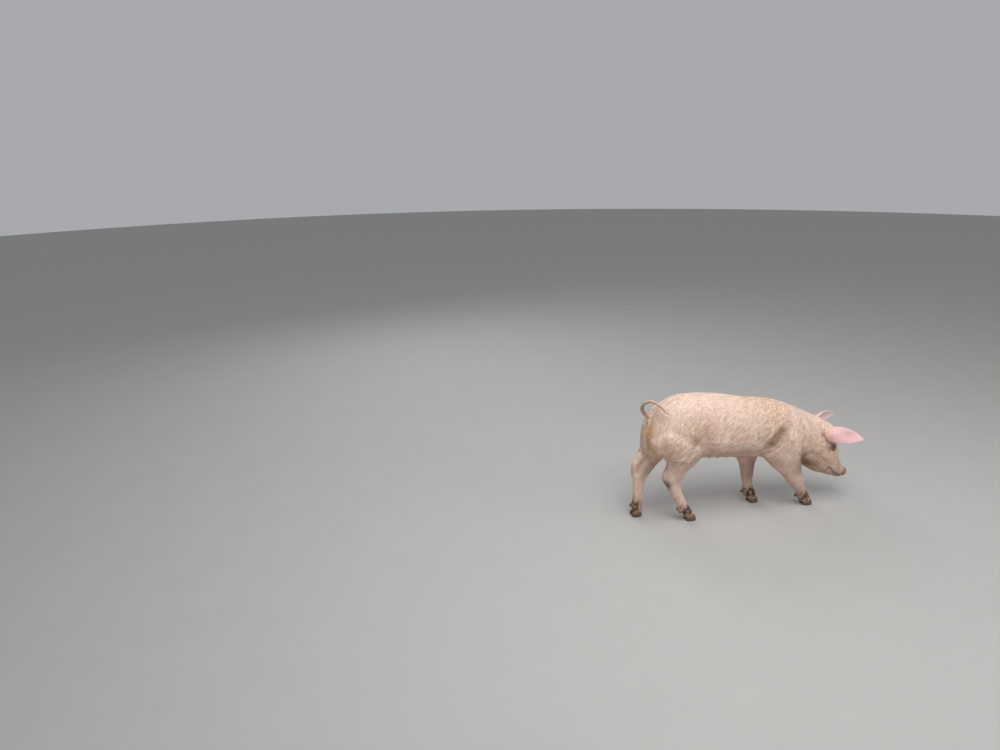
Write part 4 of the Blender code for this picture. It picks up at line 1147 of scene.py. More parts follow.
def press_folds(data):
    """Press the folds, wrinkles, mouth and nostrils into the dense skin."""
    points, normals = points_of(data), points_of(data, "normal")
    tree = tree_of(data)
    shift = np.zeros(len(points))
    for values in fold_lines(tree):
        shift += fold_shift(points, *values)
    for foot in FEET:
        shift -= foot_creases(points, normals, foot)
    shift -= snout_wrinkles(points)
    put_points(data, points + normals * shift[:, None] + dents_and_swells(points, tree))


def connected_part(seed, unseen):
    """All points joined to one point, taken out of the ones not seen yet."""
    part = {seed}
    front = [seed]
    while front:
        for edge in front.pop().link_edges:
            for other in edge.verts:
                if other in unseen:
                    unseen.discard(other)
                    part.add(other)
                    front.append(other)
    return part


def largest_part(data):
    """A mesh with only its largest connected surface."""
    mesh = bmesh.new()
    mesh.from_mesh(data)
    unseen = set(mesh.verts)
    parts = []
    while unseen:
        parts.append(connected_part(unseen.pop(), unseen))
    largest = max(parts, key=len)
    loose = [vertex for part in parts if part is not largest for vertex in part]
    bmesh.ops.delete(mesh, geom=loose, context="VERTS")
    mesh.to_mesh(data)
    mesh.free()
    return data


def flesh_tree():
    """A search tree over the frame's own flesh solids."""
    meshes = [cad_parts[name].data for name in FLESH]
    points, faces = joined((points_of(data), corners_of(data)) for data in meshes)
    return BVHTree.FromPolygons([tuple(point) for point in points], [tuple(face) for face in faces])


def fit_to_solids(data, points, web):
    """Move the smoothed skin back to the surface of the solids, without their facets."""
    tree = flesh_tree()
    for steps in FIT_STEPS:
        normals = points_of(data, "normal")
        gaps = np.zeros(len(points))
        for number, (point, normal) in enumerate(zip(points, normals)):
            place, out = Vector(point), Vector(normal)
            for turn in (1, -1):
                _, facing, _, away = tree.ray_cast(place, out * turn, FIT_REACH)
                if away is not None and facing.dot(out) > FIT_FACING:
                    gaps[number] = turn * away
                    break
        points = points + normals * web.smooth(gaps, steps)[:, None]
        put_points(data, points)
    return points


def dense_flesh(settings):
    """All flesh solids as one dense even mesh."""

    def rounded_parts():
        for name in FLESH:
            data = rounded_solid(name, 2)
            yield points_of(data) + points_of(data, "normal") * CLOSE_GAPS, corners_of(data)
            bpy.data.meshes.remove(data)

    size = settings.grid_size * 1.0
    data = mesh_from("flesh", *joined(rounded_parts()))
    cells = {"mode": "VOXEL", "voxel_size": size, "adaptivity": 0.0}
    return largest_part(modified(data, [("REMESH", cells)]))


def model_skin(settings):
    """One even skin over all the flesh, a little inside the solids."""
    data = dense_flesh(settings)
    web = Web(data)
    points = points_of(data)
    shares = region_shares(points, web)
    steady = np.clip(share_of(shares, "ear") + share_of(shares, "snout") + share_of(shares, "tail"), 0.0, 1.0)
    ease = 1.0 - STEADY * steady
    for side in SIDES:
        centre, radius, gaze, _, _ = eye_axes(side)
        ease = np.maximum(ease, 2.0 * falloff(points, centre + gaze * radius * 0.6, EYE_EASE, 4))
    for step in range(SMOOTHING * 3):
        share = SHAPE_STEP * np.clip(ease if step < SMOOTHING else ease - 1.0, 0.0, 1.0)[:, None]
        points = points + share * (web.mean(points) - points)
    put_points(data, points)
    points = fit_to_solids(data, points, web)
    put_points(data, points - points_of(data, "normal") * by_region(shares, SKIN_DEPTH)[:, None])
    press_folds(data)
    triangles = sum(len(face.vertices) - 2 for face in data.polygons)
    return modified(data, [("DECIMATE", {"ratio": min(1.0, settings.triangles / triangles)})])


def store(data, name, values):
    """Keep a value or direction on every point of a mesh."""
    flat = values.ndim == 1
    layer = data.attributes.new(name, "FLOAT" if flat else "FLOAT_VECTOR", "POINT")
    layer.data.foreach_set("value" if flat else "vector", values.astype(np.float32).ravel())


def recall(data, name):
    """Read back a value or direction that a mesh keeps."""
    layer = data.attributes[name]
    flat = layer.data_type == "FLOAT"
    values = np.zeros(len(data.vertices) * (1 if flat else 3), np.float32)
    layer.data.foreach_get("value" if flat else "vector", values)
    return values.astype(float) if flat else values.reshape(-1, 3).astype(float)


def dirt_and_shade(points, normals, shares, tree):
    """How much dry and wet dirt lies on each point, with painted shade under the head and the upper lip, in
    the ears' shadow above the eyes, at the mouth's corners, behind the jowls and on the lower hams.
    """
    legs = share_of(shares, "upper_leg") + share_of(shares, "lower_leg")
    height = np.clip((LEG_SOIL_TOP - points[:, 2]) / (LEG_SOIL_TOP - LEG_SOIL_BOTTOM), 0.0, 1.0)
    legs *= np.where(points[:, 0] > 0, LEG_SOIL["fore"], LEG_SOIL["hind"])
    # Painted shade on the head where it faces down
    under = np.clip(-1.6 * normals[:, 2] - 0.3, 0.0, 1.0) * share_of(shares, "head")
    disc = falloff(points, landmark("snout_disc"), DISC_REACH)
    soil_and_shade = np.maximum.reduce([spots(points, SOIL_AND_SHADE_SPOTS), height * legs, JAW_PAINTED_SHADE * under, DISC_SOIL * disc])
    mud_and_shade = spots(points, MUD_AND_SHADE_SPOTS)
    for foot in FEET:
        reach = np.minimum(1.0, FETLOCK_FILL * blob(points, foot_middle(foot) + FETLOCK_SOIL, FETLOCK_REACH))
        soil_and_shade = np.maximum(soil_and_shade, FETLOCK_STRENGTH * reach)
        mud_and_shade = np.maximum(mud_and_shade, reach)
    for turn in SIDES.values():
        for line, width, strength in SOIL_LINES.values():
            along = near_line(points, on_side(tree, line, turn)) / width
            soil_and_shade = np.maximum(soil_and_shade, strength * np.exp(-along**2))
        stripe = near_line(points, on_side(tree, EYE_STRIPE, turn))
        soil_and_shade = soil_and_shade * (1.0 - STRIPE_CLEAN * np.exp(-(stripe / STRIPE_WIDTH) ** 2))
    return soil_and_shade, mud_and_shade


def rims_and_shade(points, tree):
    """Dark marks: painted shade along the mouth's slit and in the nostrils, a dark ring round each eye that
    is partly painted shade, the teats' tips and the dots on one ear.
    """
    rim = np.zeros(len(points))
    for side, turn in SIDES.items():
        centre, radius, gaze, _, _ = eye_axes(side)
        along = near_line(points, mouth_line(tree, turn))
        # Painted shade round each eye, along the mouth's slit and in the nostrils
        rim = np.maximum(rim, 0.5 * falloff(points, centre + gaze * radius, EYE_RIM, 4))
        rim = np.maximum(rim, 0.85 * np.exp(-(along / MOUTH_RIM) ** 2))
        rim = np.maximum(rim, falloff(points, nostril(turn), NOSTRIL_WIDTH, 4))
    for teat in teats(tree):
        rim = np.maximum(rim, 0.45 * falloff(points, teat, TEAT_REACH))
    for x, z in EAR_DOTS:
        dot = tree.ray_cast(Vector((x, -0.2, z)), Vector((0, 1, 0)))[0]
        rim = np.maximum(rim, 0.65 * falloff(points, np.array(dot), DOT_RADIUS))
    return rim


def ear_cup(points, normals, ear):
    """How much each point of the ears faces into their cups."""
    cup = np.zeros(len(points))
    for side, turn in SIDES.items():
        inside = np.clip(-0.8 * (normals @ np.array(EAR_BACK[side])), 0.0, 1.0)
        cup = np.maximum(cup, inside * (points[:, 1] * turn > 0) * ear)
    return cup


def coat_growth(points, normals, shares, bare, cup, tree):
    """The number, length and height of the bristles at every point."""
    full = 1.0 - bare
    for side, turn in SIDES.items():
        centre, radius, gaze, _, _ = eye_axes(side)
        along = near_line(points, mouth_line(tree, turn))
        full = full * (1.0 - falloff(points, centre + gaze * radius, EYE_BARE, 6))
        full = full * (1.0 - np.exp(-(along / MOUTH_BARE) ** 2))
    full = full * (1.0 - 0.7 * cup)
    muzzle = muzzle_share(points) * share_of(shares, "head")
    full = full * (1.0 - 0.55 * muzzle)
    body = share_of(shares, "trunk") + share_of(shares, "neck")
    below = np.clip(-normals[:, 2] * 1.6 - 0.5, 0.0, 1.0) * body
    full = full * (1.0 - 0.65 * below)
    columns = [{region: COAT[region][column] for region in REGIONS} for column in range(3)]
    length, number, height = (by_region(shares, column) for column in columns)
    length = length * (1.0 - 0.55 * below) * (1.0 - 0.50 * muzzle)
    return {"full": full * number, "length": length, "height": height}


def mark_skin(data):
    """Give the skin its markings, and the lie, length and fullness of its coat."""
    points, normals = points_of(data), points_of(data, "normal")
    web = Web(data)
    shares = region_shares(points, web)
    tree = tree_of(data)
    ear = share_of(shares, "ear")
    cup = ear_cup(points, normals, ear)
    bare = np.clip(share_of(shares, "snout") * 2.0, 0.0, 1.0)
    soil_and_shade, mud_and_shade = dirt_and_shade(points, normals, shares, tree)
    inner = np.clip(-normals[:, 1] * np.sign(points[:, 1]), 0.0, 1.0)
    lie = lie_of_coat(points, normals, shares, web)
    doubled = 2 * np.arctan2(lie[:, 2], lie[:, 0])
    bent = 1.0 - np.linalg.norm(web.smooth(normals, 10), axis=1)
    marks = {
        # Dirt and wet dirt, both also carrying painted shade
        "soil_and_shade": soil_and_shade, "mud_and_shade": mud_and_shade, "bare": bare,
        "ochre": spots(points, OCHRE_SPOTS), "rim": rims_and_shade(points, tree),
        "blush": np.maximum(spots(points, BLUSH_SPOTS), 0.7 * inner * share_of(shares, "upper_leg")),
        "tan": spots(points, TAN_AND_SHADE_SPOTS) * (1.0 - ear),
        "lie": lie, "lay_cos": np.cos(doubled), "lay_sin": np.sin(doubled),
        # The ears' cups and edges get painted light, their upper parts painted shade
        "ear": ear, "ear_cup": cup, "ear_painted_shade": spots(points, EAR_PAINTED_SHADE_SPOTS) * ear * (1.0 - cup),
        "ear_painted_light": web.smooth(np.clip((bent - 0.05) / 0.22, 0.0, 1.0) * ear, 2),
        "region": shares.argmax(axis=1).astype(float),
        **coat_growth(points, normals, shares, bare, cup, tree),
    }
    for name, values in marks.items():
        store(data, name, values)


# Pieces of the coat: regions, how far back and forward each reaches, and its side
COAT_PIECES = {
    "coat_rump_right": (("trunk",), (-1.0, -0.150), -1),
    "coat_rump_left": (("trunk",), (-1.0, -0.150), 1),
    "coat_flank_right": (("trunk",), (-0.150, -0.020), -1),
    "coat_flank_left": (("trunk",), (-0.150, -0.020), 1),
    "coat_shoulder_right": (("trunk",), (-0.020, 1.0), -1),
    "coat_shoulder_left": (("trunk",), (-0.020, 1.0), 1),
    "coat_neck": (("neck",), (-1.0, 1.0), 0),
    "coat_head": (("head", "snout"), (-1.0, 1.0), 0),
    "coat_ears": (("ear",), (-1.0, 1.0), 0),
    "coat_upper_legs_right": (("upper_leg",), (-1.0, 1.0), -1),
    "coat_upper_legs_left": (("upper_leg",), (-1.0, 1.0), 1),
    "coat_lower_legs": (("lower_leg",), (-1.0, 1.0), 0),
    "coat_tail": (("tail",), (-1.0, 1.0), 0),
}
CARRIED = ("soil_and_shade", "mud_and_shade", "ochre", "blush", "tan", "ear", "lay_cos", "lay_sin")
# Wisps: bristles in each, spread across and along, how far the tips draw together and the middles bow out
WISP_HAIRS = 7
WISP_ACROSS = 0.0014
WISP_ALONG = 0.0034
WISP_PULL = 0.30
WISP_BOW = 0.22
HAIR_POINTS = 7
HAIR_FLATNESS = 0.35
HAIR_ROUNDING = 0.35
LOOSE_SHARE = 0.07
LOOSE_LIFT = 1.8
PATCH = 0.003
# Each bristle: share of its root's radius in the middle, how deep the root sits, its faces, and how far
# along and across it each of its points lies
HAIR_TAPER = 0.85
ROOT_DEPTH = 0.0003
HAIR_FACES = (
    (0, 2, 1), (0, 1, 4), (0, 4, 3), (1, 2, 5), (1, 5, 4),
    (2, 0, 3), (2, 3, 5), (3, 4, 6), (4, 5, 6), (5, 3, 6),
)
HAIR_ALONG = (0.0, 0.0, 0.0, 0.5, 0.5, 0.5, 1.0)
HAIR_ACROSS = (0.0, 0.5, 1.0, 0.0, 0.5, 1.0, 0.5)
SWIRL = 0.03
SWIRL_WAVES = ((110.0, 90.0, 70.0), (-60.0, 150.0, 120.0))


def settle(tree, places):
    """Places moved onto the skin, and the skin's normals there."""
    moved, normals = np.empty_like(places), np.empty_like(places)
    for number, place in enumerate(places):
        moved[number], normals[number], _, _ = tree.find_nearest(place)
    return moved, normals


def bristle_mesh(start, middle, tip, radius):
    """Points, faces and normals of three-sided bristles, from places and skin normals at three stations."""
    (start, start_normal), (middle, middle_normal), (tip, tip_normal) = start, middle, tip
    beside = unit(np.cross(start_normal, tip - start))
    points = np.empty((len(start), HAIR_POINTS, 3))
    facing = np.empty((len(start), HAIR_POINTS, 3))
    for corner in range(3):
        angle = pi / 2 + corner * 2 * pi / 3
        offset = (beside * cos(angle) + start_normal * sin(angle) * HAIR_FLATNESS) * radius
        points[:, corner] = start + offset
        points[:, 3 + corner] = middle + offset * HAIR_TAPER
        facing[:, corner] = start_normal + beside * cos(angle) * HAIR_ROUNDING
        facing[:, 3 + corner] = middle_normal + beside * cos(angle) * HAIR_ROUNDING
    points[:, 6] = tip
    facing[:, 6] = tip_normal
    faces = (np.array(HAIR_FACES)[None] + HAIR_POINTS * np.arange(len(start))[:, None, None]).reshape(-1, 3)
    return points.reshape(-1, 3), faces, unit(facing.reshape(-1, 3))


def bristles(roots, normals, lies, lengths, heights, radius, tree, draw):
    """Wisps of three-sided tapered bristles that lie along the skin, as points, faces and normals."""
    side = unit(np.cross(normals, lies))
    swirl = sum(SWIRL * np.sin(roots @ np.array(wave)) for wave in SWIRL_WAVES)
    turn = (swirl + draw.normal(0.0, 0.05, len(roots)))[:, None]
    lies = unit(lies + side * turn)
    side = unit(np.cross(normals, lies))
    whole = lengths * draw.uniform(0.75, 1.1, len(roots))

    def each(values):
        return np.repeat(values, WISP_HAIRS, axis=0)

    count = len(roots) * WISP_HAIRS
    across = draw.uniform(-1, 1, count)[:, None] * WISP_ACROSS
    along = draw.uniform(-0.5, 0.5, count)[:, None] * WISP_ALONG
    size = (each(whole) * draw.uniform(0.72, 1.08, count))[:, None]
    start, start_normal = settle(tree, each(roots) + each(side) * across + each(lies) * along)
    drift = draw.normal(0.0, 0.035, count)[:, None]
    tip = each(roots) + each(lies) * (along + size) + each(side) * (across * WISP_PULL + drift * size)
    middle = (start + tip) / 2 + each(side) * across * WISP_BOW
    middle, middle_normal = settle(tree, middle)
    tip, tip_normal = settle(tree, tip)
    lift = draw.uniform(0.5, 1.0, count) + LOOSE_LIFT * (draw.uniform(0, 1, count) < LOOSE_SHARE)
    rise = (each(heights) * lift)[:, None]
    middle += middle_normal * rise * 0.7
    tip += tip_normal * rise
    start -= start_normal * ROOT_DEPTH
    return bristle_mesh((start, start_normal), (middle, middle_normal), (tip, tip_normal), radius)


def unrolled(roots):
    """The roots on an unrolled tube round their own long axis, from 0 to 1 each way."""
    centre = roots.mean(axis=0)
    _, _, axes = np.linalg.svd(roots[:: max(1, len(roots) // 4000)] - centre, full_matrices=False)
    along, first, second = ((roots - centre) @ axes.T).T
    around = np.arctan2(second, first)
    flat = np.column_stack([along, around])
    low, high = flat.min(axis=0), flat.max(axis=0)
    return 0.01 + 0.98 * (flat - low) / np.maximum(high - low, 1e-9)


def stretch_of_skin(name, data, points, corners):
    """The triangles of the skin that one piece of the coat grows on."""
    wanted, (rear, fore), turn = COAT_PIECES[name]
    region = recall(data, "region").astype(int)
    middle = points[corners].mean(axis=1)
    chosen = np.isin(region[corners[:, 0]], [REGIONS.index(word) for word in wanted])
    chosen &= (middle[:, 0] >= rear) & (middle[:, 0] < fore)
    if turn:
        chosen &= middle[:, 1] * turn >= 0
    return corners[chosen]


def scattered(points, corners, full, draw):
    """Triangles picked by area and fullness, and a random place in each as the weights of its corners."""
    edge_a = points[corners[:, 1]] - points[corners[:, 0]]
    edge_b = points[corners[:, 2]] - points[corners[:, 0]]
    area = np.linalg.norm(np.cross(edge_a, edge_b), axis=1) / 2
    share = area * full[corners].mean(axis=1)
    count = int(share.sum() / WISP_HAIRS)
    picked = np.searchsorted(np.cumsum(share), draw.uniform(0, share.sum(), count))
    picked = np.minimum(picked, len(corners) - 1)
    first, second = draw.uniform(0, 1, (2, count))
    over = first + second > 1
    first[over], second[over] = 1 - first[over], 1 - second[over]
    return corners[picked], np.column_stack([1 - first - second, first, second])


def grow_coat(name, skin, tree, material, settings, draw):
    """One piece of the coat over its stretch of the skin."""
    data = skin.data
    points, normals = points_of(data), points_of(data, "normal")
    full = recall(data, "full") * settings.fullness * 1.0
    corners, weights = scattered(points, stretch_of_skin(name, data, points, corners_of(data)), full, draw)
    count = len(corners)

    def at_roots(values):
        return np.einsum("nk,nk...->n...", weights, values[corners])

    roots = at_roots(points)
    bristle_points, faces, facing = bristles(
        roots, unit(at_roots(normals)), unit(at_roots(recall(data, "lie"))), at_roots(recall(data, "length")),
        at_roots(recall(data, "height")), settings.root_radius, tree, draw,
    )
    mesh = mesh_from(name, np.clip(bristle_points, *(np.array(corner) for corner in cad_box)), faces)
    mesh.normals_split_custom_set_from_vertices(facing.astype(np.float32))
    hairs = count * WISP_HAIRS
    for word in CARRIED:
        store(mesh, word, np.repeat(at_roots(recall(data, word)), WISP_HAIRS * HAIR_POINTS))
    shade = np.repeat(draw.uniform(0.15, 0.85, count), WISP_HAIRS) + draw.uniform(-0.15, 0.15, hairs)
    store(mesh, "shade", np.repeat(shade, HAIR_POINTS))
    store(mesh, "tip", np.tile(HAIR_ALONG, hairs))
    places = np.repeat(unrolled(roots), WISP_HAIRS * HAIR_POINTS, axis=0)
    places += PATCH * (np.column_stack([np.tile(HAIR_ACROSS, hairs), np.tile(HAIR_ALONG, hairs)]) - 0.5)
    layer = mesh.uv_layers.new(name="OFBake")
    layer.data.foreach_set("uv", places[faces.ravel()].astype(np.float32).ravel())
    return show(name, mesh, material)


def lid_points(side, settings, tree):
    """The rings of points of both lids, from the opening's edge outwards."""
    centre, radius, gaze, forward, upward = eye_axes(side)
    long, high = settings.opening_length / 2, settings.opening_height / 2
    for wide, lift in LID_SECTION:
        for step in range(LID_STEPS):
            angle = 2 * pi * step / LID_STEPS
            upper = sin(angle) > 0
            tall = high * (UPPER_LID if upper else LOWER_LID)
            edge = long * tall / np.hypot(tall * cos(angle), long * sin(angle))
            edge *= 1.0 + EYE_CORNER * abs(cos(angle)) ** 9
            reach = edge + wide * (1.0 + 0.25 * upper * sin(angle))
            spot = centre + forward * reach * cos(angle) + upward * reach * sin(angle)
            ball = np.sqrt(max(radius**2 - reach**2, 0.0))
            hit = tree.ray_cast(Vector(spot + gaze * LID_LOOK), Vector(-gaze), LID_LOOK)[0]
            skin = ball if hit is None else float((np.array(hit) - spot) @ gaze)
            share = np.clip((reach - edge) / LID_BLEND, 0.0, 1.0)
            base = max(ball, ball * (1 - share) + skin * share) if reach < radius * 0.9 else skin
            thick = lift * (1.0 + 0.35 * max(sin(angle), 0.0)) if lift > 0 else lift
            yield spot + gaze * (base + thick)


def lid_mesh(side, settings, tree):
    """Upper and lower lid as one soft ring round the eye's opening, sunk into the skin outside."""
    points = np.array(list(lid_points(side, settings, tree)))
    faces = []
    for ring in range(len(LID_SECTION) - 1):
        for step in range(LID_STEPS):
            a, b = ring * LID_STEPS + step, ring * LID_STEPS + (step + 1) % LID_STEPS
            faces.append((a, b, b + LID_STEPS, a + LID_STEPS))
    if SIDES[side] > 0:
        faces = [face[::-1] for face in faces]
    data = modified(
        mesh_from("lids_" + side, points, np.array(faces)), [("SUBSURF", {"levels": 1, "render_levels": 1})]
    )
    centre, _, gaze, forward, upward = eye_axes(side)
    lateral = points_of(data) - centre
    lateral -= np.outer(lateral @ gaze, gaze)
    long, high = settings.opening_length / 2, settings.opening_height / 2
    away = np.hypot((lateral @ forward) / long, (lateral @ upward) / high)
    # A dark rim at the opening and a darkening of the whole lid, partly painted shade round the eye
    store(data, "rim", np.interp(away, *LID_RIM))
    store(data, "soil_and_shade", np.clip(0.55 - 0.10 * away, 0.0, 1.0))
    store(data, "blush", np.full(len(lateral), 0.35))
    data.shade_smooth()
    return data


def eyeball_mesh(side):
    """The eyeball with its clear front standing slightly proud."""
    centre, radius, gaze, _, _ = eye_axes(side)
    mesh = bmesh.new()
    bmesh.ops.create_uvsphere(mesh, u_segments=EYE_RINGS * 2, v_segments=EYE_RINGS, radius=radius)
    turn = Vector((0, 0, 1)).rotation_difference(Vector(gaze)).to_matrix().to_4x4()
    bmesh.ops.transform(mesh, matrix=Matrix.Translation(Vector(centre)) @ turn, verts=mesh.verts)
    for vertex in mesh.verts:
        out = (vertex.co - Vector(centre)).normalized()
        front = max(0.0, out.dot(Vector(gaze)) - cos(CLEAR_FRONT)) / (1 - cos(CLEAR_FRONT))
        vertex.co += out * radius * (FRONT_SWELL * front - BALL_SHRINK)
    data = bpy.data.meshes.new("eye_" + side)
    mesh.to_mesh(data)
    mesh.free()
    data.shade_smooth()
    return data


def lash_points(root, aim, upward, length):
    """Three rings of three points and a tip along one lash that bends down."""
    across = unit(np.cross(aim, upward)[None])[0]
    for share in LASH_STATIONS:
        middle = root + aim * length * share - upward * length * LASH_BEND * share**2
        for corner in range(3):
            turn = 2 * pi * corner / 3
            offset = across * cos(turn) + upward * sin(turn)
            yield middle + offset * LASH_RADIUS * (1.0 - 0.75 * share)
    yield root + aim * length - upward * length * LASH_BEND


def lash_faces(start):
    """The faces of one lash whose points begin at a number."""
    faces = []
    for ring in (0, 3):
        for corner in range(3):
            low, top = start + ring + corner, start + ring + (corner + 1) % 3
            faces += [(low, top, top + 3), (low, top + 3, low + 3)]
    faces += [(start + 6 + corner, start + 6 + (corner + 1) % 3, start + 9) for corner in range(3)]
    return faces + [(start, start + 2, start + 1)]


def lash_mesh(side, settings, draw):
    """Pale lashes along the upper lid, curving out and down."""
    centre, radius, gaze, forward, upward = eye_axes(side)
    long, high = settings.opening_length / 2, settings.opening_height / 2
    points = []
    faces = []
    for number in range(LASHES):
        angle = pi * (0.10 + 0.80 * (number + draw.uniform(-0.3, 0.3)) / (LASHES - 1))
        root = centre + forward * long * cos(angle) + upward * (high * UPPER_LID * sin(angle) + LASH_RISE)
        root = root + gaze * (np.sqrt(radius**2 - (long * cos(angle)) ** 2 * 0.8) * 0.86 + LASH_RISE)
        aim = gaze * 0.75 + forward * cos(angle) * 0.45 + upward * 0.35
        aim /= np.linalg.norm(aim)
        length = LASH_LENGTH * draw.uniform(0.7, 1.0) * (0.65 + 0.35 * sin(angle))
        faces += lash_faces(len(points))
        points += lash_points(root, aim, upward, length)
    data = mesh_from("lashes_" + side, np.array(points), np.array(faces))
    store(data, "shade", np.full(len(points), 0.25))
    store(data, "soil_and_shade", np.full(len(points), 0.10))
    layer = data.uv_layers.new(name="OFBake")
    places = np.array([(0.5 + (corner % 10) * PATCH / 10, 0.5) for corner in range(len(points))])
    layer.data.foreach_set("uv", places[np.array(faces).ravel()].astype(np.float32).ravel())
    return data


def ringed(rings):
    """Quads, as triangles, between rings of the same number of points, with a fan on both ends."""
    sides = len(rings[0])
    points = [point for ring in rings for point in ring]
    faces = []
    for level in range(len(rings) - 1):
        for step in range(sides):
            a, b = level * sides + step, level * sides + (step + 1) % sides
            faces += [(a, b, b + sides), (a, b + sides, a + sides)]
    for level, turned in ((0, True), (len(rings) - 1, False)):
        points.append(np.mean(rings[level], axis=0))
        for step in range(sides):
            a, b = level * sides + step, level * sides + (step + 1) % sides
            faces.append((b, a, len(points) - 1) if turned else (a, b, len(points) - 1))
    return np.array(points), np.array(faces)


def claw_form(name, inner):
    """A main claw: pointed toe, steep outer wall, flatter inner wall, tucked under the skin above."""
    low, high = (np.array(corner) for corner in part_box(name))
    middle, half = (low + high) / 2, (high - low) / 2
    rings = []
    for level, scale, back in CLAW_SECTION:
        ring = []
        for step in range(CLAW_SIDES):
            angle = 2 * pi * step / CLAW_SIDES
            front = max(cos(angle), 0.0)
            along = half[0] * cos(angle) * scale - back
            across = half[1] * sin(angle) * scale * (1.0 - TOE_POINT * front**2)
            if sin(angle) * inner > 0:
                across *= INNER_WALL
            height = (CLAW_HEIGHT + CORONET_SLOPE * along) * level
            wear = CLAW_WEAR * sin(2 * pi * height / WEAR_PITCH + 3 * angle) * (0.1 < level < 1.0)
            x, y = middle[0] + along + wear * cos(angle), middle[1] + across + wear * sin(angle)
            ring.append((x, y, max(height, 0.0)))
        rings.append(ring)
    points, faces = ringed(rings)
    return np.clip(points, low, high + np.array((0, 0, CORONET_TUCK))), faces


def dewclaw_form(name, tree):
    """A dewclaw: a blunt cone of horn that stands out of the skin behind the pastern."""
    places = points_of(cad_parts[name].data)
    middle = places.mean(axis=0)
    hit = np.array(tree.find_nearest(Vector(middle))[0])
    aim = unit((middle - hit)[None])[0]
    reach = DEWCLAW_LENGTH * ((places - hit) @ aim).max()
    across = unit(np.cross(aim, (0.0, 0.0, 1.0))[None])[0] * DEWCLAW_RADIUS * 1.08
    upward = np.cross(unit(across[None])[0], aim) * DEWCLAW_RADIUS * 0.92
    rings = []
    for share, width in DEWCLAW_SECTION:
        spot = hit + aim * reach * share - np.array((0.0, 0.0, DEWCLAW_SAG)) * max(share, 0.0) ** 2
        angles = [2 * pi * step / DEWCLAW_SIDES for step in range(DEWCLAW_SIDES)]
        rings.append([spot + width * (across * cos(angle) + upward * sin(angle)) for angle in angles])
    return ringed(rings)


def hoof_mesh(foot, tree):
    """The two claws and two dewclaws of a foot."""
    nodes = [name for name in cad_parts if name.startswith(foot) and "claw" in name]
    centre = foot_middle(foot)
    forms = [
        dewclaw_form(name, tree) if "dewclaw" in name
        else claw_form(name, 1 if landmark(name)[1] < centre[1] else -1)
        for name in nodes
    ]
    return mesh_from("hooves_" + foot, *joined(forms)), nodes


class PIGLET_OT_skin(bpy.types.Operator):
    """Model one skin over the solids, with folds, mouth, nostrils and markings"""
    bl_idname = "piglet.skin"
    bl_label = "Skin"

    def execute(self, context):
        settings = context.scene.piglet_skin
        data = model_skin(settings)
        data.name = "skin"
        mark_skin(data)
        data.shade_smooth()
        show("skin", data, hide_material(settings), FLESH)
        return {"FINISHED"}


class PIGLET_OT_eyes(bpy.types.Operator):
    """Set the eyeballs, lids and lashes"""
    bl_idname = "piglet.eyes"
    bl_label = "Eyes"

    def execute(self, context):
        settings = context.scene.piglet_eyes
        skin = bpy.data.objects["skin"]
        tree = tree_of(skin.data)
        draw = np.random.default_rng(21)
        lash = bristle_material(context.scene.piglet_coat, context.scene.piglet_skin)
        lash.name = "lash"
        for side in SIDES:
            centre, _, gaze, _, _ = eye_axes(side)
            ball = eye_material(settings, side, centre, gaze)
            show("eyeball_" + side, eyeball_mesh(side), ball, ["eye_" + side])
            show("lids_" + side, lid_mesh(side, settings, tree), skin.data.materials[0])
            show("lashes_" + side, lash_mesh(side, settings, draw), lash)
        return {"FINISHED"}


class PIGLET_OT_hooves(bpy.types.Operator):
    """Shape the claws and dewclaws of all four feet"""
    bl_idname = "piglet.hooves"
    bl_label = "Hooves"

    def execute(self, context):
        settings = context.scene.piglet_hooves
        material = hoof_material(settings)
        tree = tree_of(bpy.data.objects["skin"].data)
        for foot in FEET:
            data, nodes = hoof_mesh(foot, tree)
            show("hooves_" + foot, data, material, nodes)
        return {"FINISHED"}


class PIGLET_OT_coat(bpy.types.Operator):
    """Grow short bristles over the whole skin, piece by piece"""
    bl_idname = "piglet.coat"
    bl_label = "Coat"

    def execute(self, context):
        settings = context.scene.piglet_coat
        material = bristle_material(settings, context.scene.piglet_skin)
        draw = np.random.default_rng(7)
        skin = bpy.data.objects["skin"]
        tree = tree_of(skin.data)
        for name in COAT_PIECES:
            grow_coat(name, skin, tree, material, settings, draw)
        return {"FINISHED"}


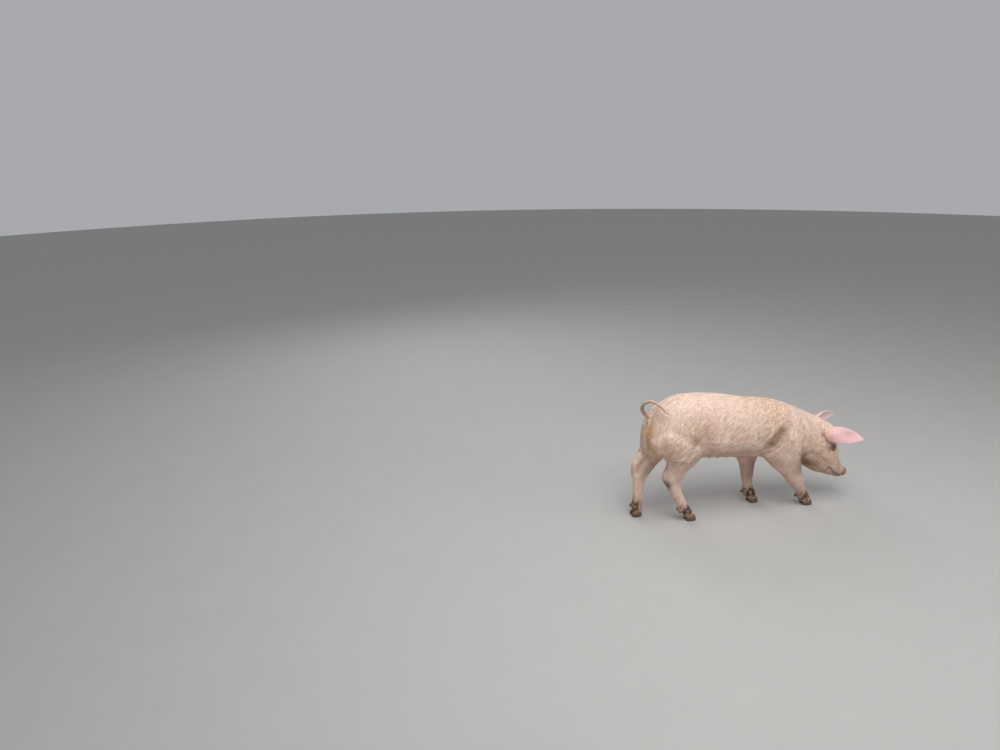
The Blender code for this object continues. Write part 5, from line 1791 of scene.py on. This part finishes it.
class PIGLET_OT_stage(bpy.types.Operator):
    """Lay a plain pale floor, and set soft lights and the camera of the photograph"""
    bl_idname = "piglet.stage"
    bl_label = "Stage"

    def execute(self, context):
        settings = context.scene.piglet_stage
        mesh = bmesh.new()
        bmesh.ops.create_circle(mesh, cap_ends=True, segments=96, radius=settings.floor_radius)
        data = bpy.data.meshes.new("floor")
        mesh.to_mesh(data)
        mesh.free()
        floor = bpy.data.objects.new("floor", data)
        data.materials.append(floor_material(settings))
        context.scene.collection.objects.link(floor)
        self.light(context, settings)
        self.camera(context)
        return {"FINISHED"}

    def light(self, context, settings):
        """Even pale surroundings, a large lamp overhead and a weak one in front."""
        context.scene.view_settings.view_transform = "Standard"
        world = bpy.data.worlds.new("pale_sky")
        world.use_nodes = True
        sky = world.node_tree.nodes["Background"]
        sky.inputs["Color"].default_value = SKY_COLOUR
        sky.inputs["Strength"].default_value = settings.sky_strength
        context.scene.world = world
        for name, (place, size, share) in LAMPS.items():
            lamp = bpy.data.lights.new(name, "AREA")
            lamp.shape = "DISK"
            lamp.size = size
            lamp.energy = settings.key_power * share
            item = bpy.data.objects.new(name, lamp)
            item.location = place
            item.rotation_euler = (LAMP_AIM - Vector(place)).to_track_quat("-Z", "Y").to_euler()
            context.scene.collection.objects.link(item)

    def camera(self, context):
        """The camera at the photograph's place, heading, pitch and roll."""
        lens = bpy.data.cameras.new("camera")
        lens.sensor_width = SENSOR_WIDTH
        lens.lens = FOCAL_PIXELS / PHOTO_WIDTH * SENSOR_WIDTH
        lens.clip_start = 0.01
        camera = bpy.data.objects.new("camera", lens)
        ahead = Vector((sin(CAMERA_HEADING), cos(CAMERA_HEADING), 0.0))
        right = Vector((cos(CAMERA_HEADING), -sin(CAMERA_HEADING), 0.0))
        forward = ahead * cos(CAMERA_PITCH) - Vector((0, 0, sin(CAMERA_PITCH)))
        upward = right.cross(forward)
        across = right * cos(CAMERA_ROLL) + upward * sin(CAMERA_ROLL)
        rise = upward * cos(CAMERA_ROLL) - right * sin(CAMERA_ROLL)
        turn = Matrix((across, rise, -forward)).transposed()
        camera.matrix_world = Matrix.Translation(CAMERA_PLACE) @ turn.to_4x4()
        context.scene.collection.objects.link(camera)
        context.scene.camera = camera


class PIGLET_PT_panel(bpy.types.Panel):
    """Offers each step's button and its settings"""
    bl_idname = "PIGLET_PT_panel"
    bl_label = "Piglet"
    bl_space_type = "VIEW_3D"
    bl_region_type = "UI"
    bl_category = "Piglet"

    def draw(self, context):
        for operator, settings in STEPS:
            box = self.layout.box()
            box.operator(operator.bl_idname)
            group = getattr(context.scene, settings)
            for name in group.bl_rna.properties.keys():
                if name not in ("rna_type", "name"):
                    box.prop(group, name)


SETTINGS = {
    "piglet_skin": PigletSkinSettings,
    "piglet_coat": PigletCoatSettings,
    "piglet_eyes": PigletEyeSettings,
    "piglet_hooves": PigletHoofSettings,
    "piglet_stage": PigletStageSettings,
}
STEPS = (
    (PIGLET_OT_skin, "piglet_skin"),
    (PIGLET_OT_eyes, "piglet_eyes"),
    (PIGLET_OT_hooves, "piglet_hooves"),
    (PIGLET_OT_coat, "piglet_coat"),
    (PIGLET_OT_stage, "piglet_stage"),
)
CLASSES = (*SETTINGS.values(), *(operator for operator, _ in STEPS), PIGLET_PT_panel)


def register():
    """Register the settings, operators and panel."""
    for item in CLASSES:
        bpy.utils.register_class(item)
    for name, group in SETTINGS.items():
        setattr(bpy.types.Scene, name, PointerProperty(type=group))


def unregister():
    """Take the settings, operators and panel away again."""
    for name in SETTINGS:
        delattr(bpy.types.Scene, name)
    for item in reversed(CLASSES):
        bpy.utils.unregister_class(item)


def main():
    """Build every piece and the stage."""
    register()
    bpy.ops.piglet.skin()
    bpy.ops.piglet.eyes()
    bpy.ops.piglet.hooves()
    bpy.ops.piglet.coat()
    bpy.ops.piglet.stage()


if __name__ == "__main__":
    main()
